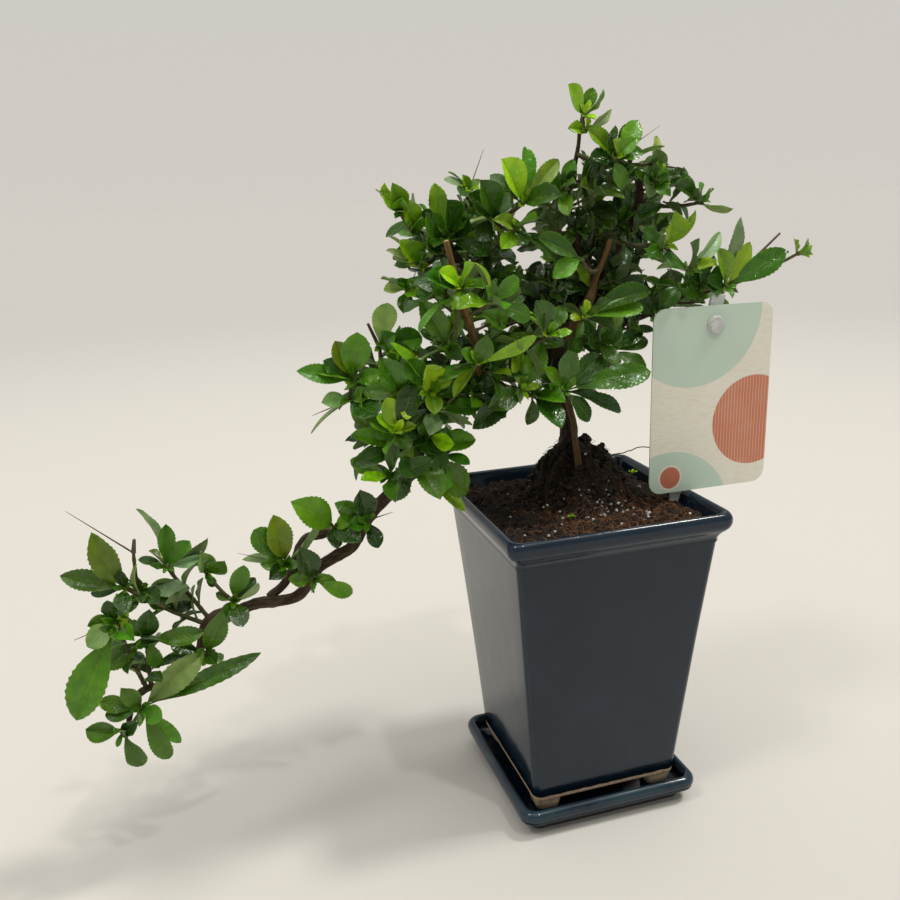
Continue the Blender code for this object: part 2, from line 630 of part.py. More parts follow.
def make_soil():
    inside = [(POT_FLOOR + GAP, wall_half(POT_FLOOR) - WALL - GAP), (120.0, wall_half(120) - WALL - GAP),
              (158.0, 52.3 - GAP), (168.0, 55.3 - GAP)]
    rings = [square_ring(half, 3.0 if z < 168 else 4.5, z, 3) for z, half in inside]
    for share in (1.0, 0.86, 0.72, 0.58, 0.44, 0.3, 0.17):
        rings.append(square_ring(55.0 * share, (3 + 25 * (1 - share)) * share, soil_height, 3))
    return mesh_object("soil", ring_loft("soil", rings), pieces, earth)


# ---- the plant card on its stake ----
def make_card():
    corners = ((CARD_RIGHT, CARD_TOP, 0), (CARD_LEFT, CARD_TOP, 90), (CARD_LEFT, CARD_BOTTOM, 180),
               (CARD_RIGHT, CARD_BOTTOM, 270))
    outline = []
    for x, z, start in corners:
        middle_x = x - math.copysign(CARD_CORNER, x - (CARD_LEFT + CARD_RIGHT) / 2)
        middle_z = z - math.copysign(CARD_CORNER, z - (CARD_BOTTOM + CARD_TOP) / 2)
        for k in range(5):
            angle = math.radians(start + 22.5 * k)
            outline.append((middle_x + CARD_CORNER * math.cos(angle), middle_z + CARD_CORNER * math.sin(angle)))
    bm = bmesh.new()
    face = bm.faces.new([bm.verts.new((x * MM, (CARD_Y - CARD_THICK / 2) * MM, z * MM)) for x, z in outline])
    depth = bmesh.ops.extrude_face_region(bm, geom=[face])["geom"]
    bmesh.ops.translate(bm, verts=[v for v in depth if isinstance(v, bmesh.types.BMVert)],
                        vec=(0, CARD_THICK * MM, 0))
    bmesh.ops.recalc_face_normals(bm, faces=bm.faces)
    mesh = bpy.data.meshes.new("plant_card")
    bm.to_mesh(mesh)
    bm.free()
    card = mesh_object("plant_card", mesh, pieces, card_print)
    boolean(card, along_y("stud hole", STUD_SHANK + GAP, CARD_Y - 3, CARD_Y + 2), "DIFFERENCE")
    return card


def along_y(name, radius, y_from, y_to, end_radius=None):
    """A round peg through the stud's centre, lying along Y; it joins or cuts others."""
    bm = bmesh.new()
    bmesh.ops.create_cone(bm, cap_ends=True, segments=16, radius1=radius * MM,
                          radius2=(end_radius or radius) * MM, depth=(y_to - y_from) * MM)
    mesh = bpy.data.meshes.new(name)
    bm.to_mesh(mesh)
    bm.free()
    peg = make_cutter(mesh_object(name, mesh, cutters))
    peg.location = (STUD_CENTRE.x * MM, (y_from + y_to) / 2 * MM, STUD_CENTRE.z * MM)
    peg.rotation_euler = (math.radians(-90), 0, 0)
    return peg


def stake_mesh(name, grow=0.0):
    """The flat strip, pointed at its foot, leaning a little to the right; grow widens it all round."""
    along = (STAKE_TOP - STAKE_FOOT).normalized()
    across = Vector((along.z, 0, -along.x))
    through = Vector((0, 1, 0))
    length = (STAKE_TOP - STAKE_FOOT).length
    half = STAKE_WIDTH / 2 + grow
    thick = STAKE_THICK / 2 + grow
    profile = [(-grow, 0.6 + grow), (24.0, 1.5 + grow), (42.0, half), (length + grow, half)]
    rings = []
    for distance, width in profile:
        middle = STAKE_FOOT + along * distance
        rings.append([middle + across * a * width + through * b * thick
                      for a, b in ((-1, -1), (1, -1), (1, 1), (-1, 1))])
    return ring_loft(name, rings)


def make_stake():
    stake = mesh_object("card_stake", stake_mesh("card_stake"), pieces, clear_plastic)
    shank = along_y("stud shank", STUD_SHANK, CARD_Y - 1.6, STAKE_FOOT.y)
    head = along_y("stud head", STUD_RADIUS - 1.2, CARD_Y - 2.4, CARD_Y - CARD_THICK / 2 - GAP, STUD_RADIUS)
    boolean(stake, shank, "UNION")
    boolean(stake, head, "UNION")
    return stake


# ---- leaves ----
def compass(facing):
    """Unit vectors of a rosette: the way it faces, its up and its right."""
    face = Vector(facing).normalized()
    up = (Vector((0, 0, 1)) - face * face.z).normalized()
    return face, up, up.cross(face)


def pointing(facing, bearing, lean):
    face, up, right = compass(facing)
    turn, tilt = math.radians(bearing), math.radians(lean)
    return (up * math.cos(turn) + right * math.sin(turn)) * math.cos(tilt) + face * math.sin(tilt)


def leaf_axes(facing, bearing, lean, roll=0):
    """The way a leaf points and the way its upper face looks."""
    along = pointing(facing, bearing, lean)
    face = compass(facing)[0]
    normal = (face - along * face.dot(along)).normalized()
    angle = math.radians(roll)
    return along, normal * math.cos(angle) + along.cross(normal) * math.sin(angle)


def leaf_rings(centre, facing, bearing, lean, length, width, roll=0, guard=0.0, start=0.0):
    """Cross-sections of a leaf from start outwards, and its tip; guard thickens it all round."""
    along, normal = leaf_axes(facing, bearing, lean, roll)
    side = along.cross(normal)
    rings = []
    for share, spread in ((start, start), *LEAF_STATIONS):
        middle = centre + along * length * share + normal * length * LEAF_BOW * 4 * share * (1 - share)
        half = max(PETIOLE_HALF, width * spread) + guard
        rings.append([middle - side * half + normal * guard, middle + side * half + normal * guard,
                      middle - normal * (LEAF_KEEL + guard)])
    return rings, centre + along * (length + guard)


def add_leaf(bm, rings, tip):
    rows = [[bm.verts.new(point * MM) for point in ring] for ring in rings]
    end = bm.verts.new(tip * MM)
    faces = [bm.faces.new(rows[0])]
    for low, high in zip(rows, rows[1:]):
        for k in range(3):
            j = (k + 1) % 3
            faces.append(bm.faces.new((low[k], low[j], high[j], high[k])))
    for k in range(3):
        faces.append(bm.faces.new((rows[-1][k], rows[-1][(k + 1) % 3], end)))
    bmesh.ops.recalc_face_normals(bm, faces=faces)


class Obstacle:
    """A closed shape that others keep clear of, with a box round it for a quick first test."""

    def __init__(self, owner, points, polygons):
        self.owner = owner
        self.tree = BVHTree.FromPolygons(points, polygons)
        self.low = [min(p[i] for p in points) for i in range(3)]
        self.high = [max(p[i] for p in points) for i in range(3)]

    def hits(self, other):
        apart = any(self.low[i] > other.high[i] or other.low[i] > self.high[i] for i in range(3))
        return not apart and bool(self.tree.overlap(other.tree))


def mesh_obstacle(owner, mesh):
    return Obstacle(owner, [v.co / MM for v in mesh.vertices], [list(p.vertices) for p in mesh.polygons])


def leaf_obstacle(owner, rings, tip):
    points = [point for ring in rings for point in ring] + [tip]
    count = len(rings)
    polygons = [(0, 1, 2)]
    for first in range(0, 3 * (count - 1), 3):
        polygons += [(first + k, first + (k + 1) % 3, first + 3 + (k + 1) % 3, first + 3 + k) for k in range(3)]
    last = 3 * (count - 1)
    polygons += [(last + k, last + (k + 1) % 3, 3 * count) for k in range(3)]
    return Obstacle(owner, points, polygons)


# ---- the plant ----
def samples(path):
    """Points (x, y, z, radius) about one every SAMPLE_STEP along a tube's middle line."""
    found = []
    for a, b in zip(path, path[1:]):
        start, end = Vector(a), Vector(b)
        count = max(1, round((end - start).xyz.length / SAMPLE_STEP))
        found += [start.lerp(end, k / count) for k in range(count)]
    return found + [Vector(path[-1])]


def crowded(point, others):
    """Whether a point (x, y, z, radius) lacks room next to any of the other points."""
    for other in others:
        reach = point.w + other.w + GAP + SAMPLE_STEP / 2
        near = all(abs(point[axis] - other[axis]) < reach for axis in range(3))
        if near and (point.xyz - other.xyz).length < reach:
            return True
    return False


def free_centre(centre, facing, taken):
    """A rosette's centre, moved the way it faces until its bud is clear of the stems and other twigs."""
    for step in range(24):
        moved = Vector(centre) + Vector(facing).normalized() * step * SAMPLE_STEP
        wide = Vector((*moved, BUD_RADIUS + TWIG_RADIUS))
        if not crowded(wide, stem_points) and not crowded(wide, taken):
            return moved
    return Vector(centre)


def free_twig(start, end, taken, parent=0.0):
    """A twig from start to end, bent aside where the straight way is blocked; None if every way is.

    A twig that starts on a stem gives the stem's radius there as parent.
    """
    axis = (end - start).normalized()
    down = Vector((0, 0, -1))
    across = axis.cross(down if abs(axis.z) < 0.9 else Vector((0, 1, 0))).normalized()
    below = across.cross(axis)
    if below.z > 0:
        below = -below
    length = (end - start).length
    for size, turn in TWIG_BENDS:
        angle = math.radians(turn)
        middle = (start + end) / 2 + (below * math.cos(angle) + across * math.sin(angle)) * size * length
        path = [(*start, TWIG_RADIUS), (*middle, TWIG_RADIUS), (*end, TWIG_RADIUS)]
        outside = [p for p in samples(path) if (p.xyz - start).length >= parent]
        clear_from = parent + TWIG_RADIUS + 1.9 if parent else 0
        beyond = [p for p in outside if (p.xyz - start).length >= clear_from]
        if not any(crowded(p, stem_points) for p in beyond) and not any(crowded(p, taken) for p in outside):
            return path
    return None


def root_choices(point):
    """Places on the stems (x, y, z, radius) clear of other twigs' roots, the nearest to the point first."""
    free = [place for place in stem_points
            if all((place.xyz - root).length >= ROOT_SPACING for root in used_roots)]
    return sorted(free, key=lambda place: (place.xyz - point).length)[:160:4]


def grow_twigs(name, rosettes):
    """The twig of a spray as short tubes: from its stem to each rosette in turn, then its spikes."""
    taken = [p for owner, points in twig_points.items() if owner != name for p in points] + stake_points
    centres = [free_centre(rosette[0], rosette[1], taken) for rosette in rosettes]
    paths = []
    for root in root_choices(centres[0]):
        first = free_twig(root.xyz, centres[0], taken, root.w)
        if first:
            paths.append(first)
            break
    else:
        print("no way for the twig of", name)
        root = root_choices(centres[0])[0]
        paths.append([(*root.xyz, TWIG_RADIUS), (*centres[0], TWIG_RADIUS)])
    for start, end in zip(centres, centres[1:]):
        way = free_twig(start, end, taken)
        if not way:
            print("no way between rosettes of", name, [round(v) for v in end])
            way = [(*start, TWIG_RADIUS), (*end, TWIG_RADIUS)]
        paths.append(way)
    for rosette, centre in zip(rosettes, centres):
        for bearing, lean, length, diameter in (rosette[3] if len(rosette) > 3 else []):
            for turn, tilt in LEAF_TURNS:
                end = centre + pointing(rosette[1], bearing + turn, lean + tilt) * length
                spike = [(*centre, diameter / 2), (*end, diameter / 2 * 0.7)]
                if not any(crowded(p, stem_points) or crowded(p, taken) for p in samples(spike)):
                    paths.append(spike)
                    break
            else:
                print("no room for a spike of", name)
    used_roots.append(root.xyz)
    buds = [Vector((*centre, BUD_RADIUS)) for centre in centres]
    twig_points[name] = buds + [p for path in paths for p in samples(path)
                                if (p.xyz - root.xyz).length >= root.w]
    return centres, paths


def make_spray(name, rosettes):
    """A twig with its rosettes of leaves, one body; a leaf that would meet a neighbour turns aside."""
    centres, paths = twigs[name]
    mesh = tubes_mesh(name, paths, 0)
    bm = bmesh.new()
    bm.from_mesh(mesh)
    for centre, (_, facing, leaves, *_) in zip(centres, rosettes):
        bud = bmesh.ops.create_icosphere(bm, subdivisions=1, radius=BUD_RADIUS * MM)["verts"]
        bmesh.ops.translate(bm, verts=bud, vec=centre * MM)
        for bearing, lean, length, width, *roll in leaves:
            placed = place_leaf(name, centre, facing, bearing, lean, length, width, *roll)
            if placed:
                add_leaf(bm, *placed)
    bm.to_mesh(mesh)
    bm.free()
    spray = mesh_object(name, mesh, pieces, foliage)
    boolean(spray, stems_clearance, "DIFFERENCE", self_overlap=True)
    return spray


def place_leaf(name, centre, facing, bearing, lean, length, width, roll=0):
    """The first of the leaf's turns that keeps it clear of every other piece, or None."""
    for size in (1.0, 0.8, 0.62):
        for turn, tilt in LEAF_TURNS:
            placing = (centre, facing, bearing + turn, lean + tilt, length * size, width * size, roll)
            guard = leaf_obstacle(name, *leaf_rings(*placing, guard=0.5))
            if any(other.owner != name and guard.hits(other) for other in obstacles):
                continue
            blade = leaf_obstacle(name, *leaf_rings(*placing, guard=0.5, start=0.16))
            if any(blade.hits(stem) for stem in stem_obstacles):
                continue
            rings, tip = leaf_rings(*placing)
            obstacles.append(leaf_obstacle(name, rings, tip))
            return rings, tip
    print("no room for a leaf of", name)
    return None


clear_scene()
pieces = new_collection("cascade_bonsai")
cutters = new_collection("cutters")
glaze = material("blue glaze", (0.035, 0.05, 0.085), 0.12)
earth = material("peat soil", (0.03, 0.018, 0.012), 0.95)
bark = material("bark", (0.075, 0.045, 0.032), 0.8)
foliage = material("leaf", (0.055, 0.16, 0.02), 0.35)
card_print = material("printed card", (0.62, 0.55, 0.43), 0.5)
clear_plastic = material("clear plastic", (0.75, 0.78, 0.76), 0.15)
root_skin = material("root", (0.2, 0.15, 0.1), 0.8)

saucer = make_saucer()
pot = make_pot()
soil = make_soil()
card = make_card()
stake = make_stake()

# Stems. Each later one is cut back where it would enter an earlier one.
stem_paths = {name: smooth_path(stations) for name, stations in STEMS.items()}
stem_obstacles = []
grown = []
for name, path in stem_paths.items():
    stem = mesh_object(name, tubes_mesh(name, [path]), pieces, bark)
    for earlier in grown:
        boolean(stem, earlier, "DIFFERENCE")
    clearance = mesh_object(f"room for {name}", tubes_mesh(name, [lengthened(path)], grow=GAP), cutters)
    grown.append(make_cutter(clearance))
    stem_obstacles.append(mesh_obstacle(name, clearance.data))

stake_room = make_cutter(mesh_object("room for card_stake", stake_mesh("stake room", GAP), cutters))
boolean(soil, stake_room, "DIFFERENCE")
boolean(soil, grown[0], "DIFFERENCE")
boolean(soil, grown[1], "DIFFERENCE")

thread_mesh = tubes_mesh("root_thread", [smooth_path(ROOT_THREAD, step=4.0)], 0)
thread = mesh_object("root_thread", thread_mesh, pieces, root_skin)
boolean(thread, soil, "DIFFERENCE")

# One body of all the room the stems need, which every spray is cut clear of.
room = bmesh.new()
for clearance in grown:
    room.from_mesh(clearance.data)
room_mesh = bpy.data.meshes.new("room for stems")
room.to_mesh(room_mesh)
room.free()
stems_clearance = make_cutter(mesh_object("room for stems", room_mesh, cutters))

all_sprays = dict(SPRAYS)
for number, (name, rosettes) in enumerate(BACK_SPRAYS.items()):
    all_sprays[name] = [(centre, facing, ruled_leaves(6, 25, 10, start=50 * number + 90 * k))
                        for k, (centre, facing) in enumerate(rosettes)]

stem_points = [p for path in stem_paths.values() for p in samples(path)]
stake_points = samples([(*STAKE_FOOT, STAKE_WIDTH / 2), (*STAKE_TOP, STAKE_WIDTH / 2)])
twig_points = {}
used_roots = []
twigs = {name: grow_twigs(name, rosettes) for name, rosettes in all_sprays.items()}
obstacles = [mesh_obstacle("made", obj.data) for obj in (pot, soil, card, stake)]
for name, (centres, paths) in twigs.items():
    half_bud = Vector((0, 0, BUD_RADIUS))
    buds = [[(*(centre - half_bud), BUD_RADIUS), (*(centre + half_bud), BUD_RADIUS)] for centre in centres]
    obstacles.append(mesh_obstacle(name, tubes_mesh(name, paths + buds, grow=GAP)))
for name, rosettes in all_sprays.items():
    make_spray(name, rosettes)
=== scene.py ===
"""Looks of the cascade bonsai: every visible surface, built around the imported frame.

The row frame is in metres, +Z up, with the origin under the middle of the saucer. The pot's front faces -Y
and the long branch hangs to -X. The plant, the pot and the soil are worked out in millimetres.
"""

import json
import math

import bmesh
import bpy
import numpy as np
from mathutils import Matrix, Vector, kdtree, noise


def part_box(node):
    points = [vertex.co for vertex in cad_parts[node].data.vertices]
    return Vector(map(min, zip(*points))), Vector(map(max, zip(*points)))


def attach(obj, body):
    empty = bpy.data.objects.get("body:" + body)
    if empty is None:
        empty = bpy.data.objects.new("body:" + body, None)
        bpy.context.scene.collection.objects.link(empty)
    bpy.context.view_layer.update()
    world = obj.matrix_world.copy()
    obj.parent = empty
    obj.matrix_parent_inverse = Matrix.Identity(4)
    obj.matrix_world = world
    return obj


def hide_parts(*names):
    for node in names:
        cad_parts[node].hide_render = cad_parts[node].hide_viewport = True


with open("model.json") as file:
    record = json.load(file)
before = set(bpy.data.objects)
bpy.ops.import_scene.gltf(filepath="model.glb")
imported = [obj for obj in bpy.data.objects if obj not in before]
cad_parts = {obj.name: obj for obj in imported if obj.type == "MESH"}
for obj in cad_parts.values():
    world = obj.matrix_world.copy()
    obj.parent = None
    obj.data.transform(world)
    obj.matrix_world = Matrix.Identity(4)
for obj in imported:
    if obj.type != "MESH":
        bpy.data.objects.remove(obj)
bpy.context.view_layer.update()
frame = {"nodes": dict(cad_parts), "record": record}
MM = 0.001
RANDOM = np.random.default_rng(7)
CARD_LEFT, CARD_RIGHT = (corner.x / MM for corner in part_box("plant_card"))
CARD_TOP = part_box("plant_card")[1].z / MM

# ---- camera and studio ----
CAMERA_TARGET = Vector((-72.7, -0.6, 210.3)) * MM
CAMERA_DISTANCE = 474 * MM
CAMERA_AZIMUTH = math.radians(-16.54)       # swung to the left of the pot's front
CAMERA_ELEVATION = math.radians(15.72)
CAMERA_ROLL = math.radians(-1.965)
CAMERA_LENS = 36.0
SENSOR_WIDTH = 36.0
FLOOR_RADIUS = 60.0                         # m
FLOOR_NEAR = (0.660, 0.641, 0.598)          # round the object, brighter as painted light
FLOOR_FAR = (0.520, 0.510, 0.490)           # where it meets the wall
FLOOR_FADE = (0.4, 2.6)                     # m from the object, over which one turns into the other: a painted falloff of the light
FLOOR_FRONT_PAINTED_SHADE = (0.30, 0.29, 0.27)            # a hint of this darkens the floor in front of the object, as painted shade
FRONT_FADE = (-0.02, -0.30)                 # m in y, over which it sets in
FRONT_SHARE = 0.16
WALL = (0.64, 0.61, 0.56)                   # what shows behind the floor's edge
WALL_ABOVE = (0.60, 0.58, 0.55)
WARM_WHITE = (1.0, 0.97, 0.92)              # the light's colour
KEY_TOWARD = Vector((170, -35, 300)).normalized()
FILL_TOWARD = Vector((-190, -60, 300)).normalized()
CEILING_TOWARD = Vector((60, -140, 260)).normalized()
SOFTBOX_TOWARD = Vector((50, -40, 300)).normalized()
BRIGHT_WALL_TOWARD = (-0.47, 0.88, 0.0)
SUNS = (                                    # (name, direction, breadth in degrees, strength)
    ("key", KEY_TOWARD, 8, 1.2), ("fill", FILL_TOWARD, 12, 0.5), ("ceiling", CEILING_TOWARD, 2.5, 0.35),
)

# ---- the plant's own colours, linear ----
# A leaf's (upper colour, roughness): dark, green, lime, olive, pale, or puckered and glossy.
TONES = {
    "d": ((0.018, 0.066, 0.002), 0.27),
    "g": ((0.060, 0.178, 0.003), 0.29),
    "l": ((0.180, 0.350, 0.004), 0.30),
    "o": ((0.125, 0.240, 0.004), 0.36),
    "p": ((0.180, 0.280, 0.095), 0.50),
    "w": ((0.030, 0.110, 0.004), 0.14),
}
YOUNG_TWIG = (0.12, 0.13, 0.03)
OLD_BARK = (0.020, 0.012, 0.009)
FRESH_BARK = (0.215, 0.128, 0.036)
THORN = (0.12, 0.075, 0.05)
CUT_WOOD = (0.42, 0.30, 0.17)
PEAT_CRUMB = (0.022, 0.013, 0.008)
PEAT_CLOD = (0.020, 0.013, 0.008)
PERLITE = (1.0, 0.98, 0.92)
COIR = (0.23, 0.105, 0.045)
FINE_ROOT = (0.07, 0.045, 0.028)

# ---- stems: (x, y, z, radius) along each one, millimetres ----
# They run as in the CAD, apart from the lower part of the second stem.
STEMS = {
    "trunk": [
        (5, 15, 179, 6.4), (2, 15, 198, 5.0), (1, 14, 212, 4.4), (-5, 11, 231, 4.4),
        (-9, 8, 246, 4.6), (-7, 5, 260, 4.6), (1, 2, 272, 4.2), (7, 0, 284, 3.6),
        (10, -1, 295, 3.0), (14, -2, 304, 2.4), (18, -2, 314, 2.0),
    ],
    "second_stem": [
        (0, -5, 180, 1.9), (0, -4, 192, 1.8), (-1, -1, 208, 1.7), (-1, 1, 217, 1.7), (-3, 6, 229, 1.7),
        (-8, 9, 238, 1.7),
    ],
    "cascade_stem": [
        (-11, 6, 243, 4.0), (-29, 2, 249, 3.6), (-44, 0, 248, 3.4), (-58, -2, 247, 3.3),
        (-70, -3, 241, 3.3), (-81, -4, 232, 3.2), (-88, -5, 220, 3.3), (-92, -5, 209, 3.2),
        (-97, -5, 200, 3.2), (-109, -4, 190, 3.3), (-118, -3, 181, 3.2), (-124, -2, 171, 3.0),
        (-129, -2, 164, 3.0), (-138, -2, 160, 3.0), (-147, -3, 156, 2.9), (-151, -3, 149, 2.8),
        (-159, -3, 142, 2.8), (-169, -3, 141, 2.9), (-179, -2, 141, 2.9), (-188, -2, 139, 2.8),
        (-198, -2, 138, 3.0), (-205, -2, 134, 2.9), (-208, -3, 126, 2.4), (-211, -3, 118, 2.2),
        (-216, -4, 110, 2.0), (-226, -6, 107, 1.8), (-237, -8, 107, 1.8), (-243, -9, 103, 1.6),
        (-247, -11, 94, 1.2), (-250, -12, 82, 0.6),
    ],
    "cascade_loop": [
        (-123, -1, 174, 2.4), (-133, 4, 173, 2.4), (-143, 5, 171, 2.4), (-151, 5, 170, 2.3),
        (-156, 4, 163, 2.3), (-160, 3, 154, 2.2), (-165, 2, 147, 2.2), (-173, -1, 143, 2.0),
    ],
    "left_limb": [
        (-9, 8, 248, 3.4), (-19, 12, 265, 3.2), (-33, 12, 281, 2.8), (-48, 8, 295, 2.4),
        (-59, 6, 303, 2.1), (-67, 4, 314, 1.7), (-70, 3, 323, 1.3),
    ],
    "lower_left_limb": [
        (-82, -4, 232, 2.4), (-93, -3, 242, 2.1), (-102, -3, 249, 1.9), (-109, -4, 254, 1.5),
    ],
    "right_limb": [
        (5, 2, 279, 3.2), (19, 10, 294, 3.0), (32, 14, 313, 2.8), (39, 13, 325, 2.5),
        (40, 8, 337, 2.0), (33, 0, 347, 1.4),
    ],
    "low_right_limb": [
        (1, 3, 270, 3.0), (16, 8, 264, 2.8), (32, 12, 267, 2.5), (47, 10, 272, 2.3),
        (59, 6, 277, 2.1), (67, 2, 283, 1.9), (75, -4, 284, 1.5), (83, -10, 288, 1.3),
        (95, -12, 294, 1.1), (107, -14, 300, 1.0), (118, -15, 304, 0.8),
    ],
    "top_limb": [
        (9, 1, 291, 2.6), (8, 8, 305, 2.4), (2, 10, 319, 2.0), (-2, 6, 334, 1.4),
        (-1, 3, 348, 1.1), (1, 1, 362, 1.0), (1, 0, 371, 0.8),
    ],
    "front_limb": [
        (-57, -3, 246, 2.0), (-62, -18, 259, 1.8), (-67, -29, 273, 1.6), (-72, -34, 286, 1.4),
        (-76, -36, 295, 1.2),
    ],
    "back_limb": [
        (-5, 6, 260, 3.0), (9, 26, 275, 2.6), (29, 44, 292, 2.2), (45, 54, 309, 1.6),
    ],
    "back_left_limb": [
        (-19, 12, 265, 2.4), (-23, 32, 279, 2.0), (-32, 48, 291, 1.5),
    ],
}
THINNEST_STEM = 0.12
# The cut leader tapers more than its CAD solid: from this height, over this much height, by this share.
LEADER_TAPER_FROM, LEADER_TAPER_OVER, LEADER_TAPER = 272, 22, 0.38
LOW_RIGHT_SHARE = 0.7       # of its CAD thickness, for the low right limb
STEM_STEP = 1.3             # between the rings of a stem

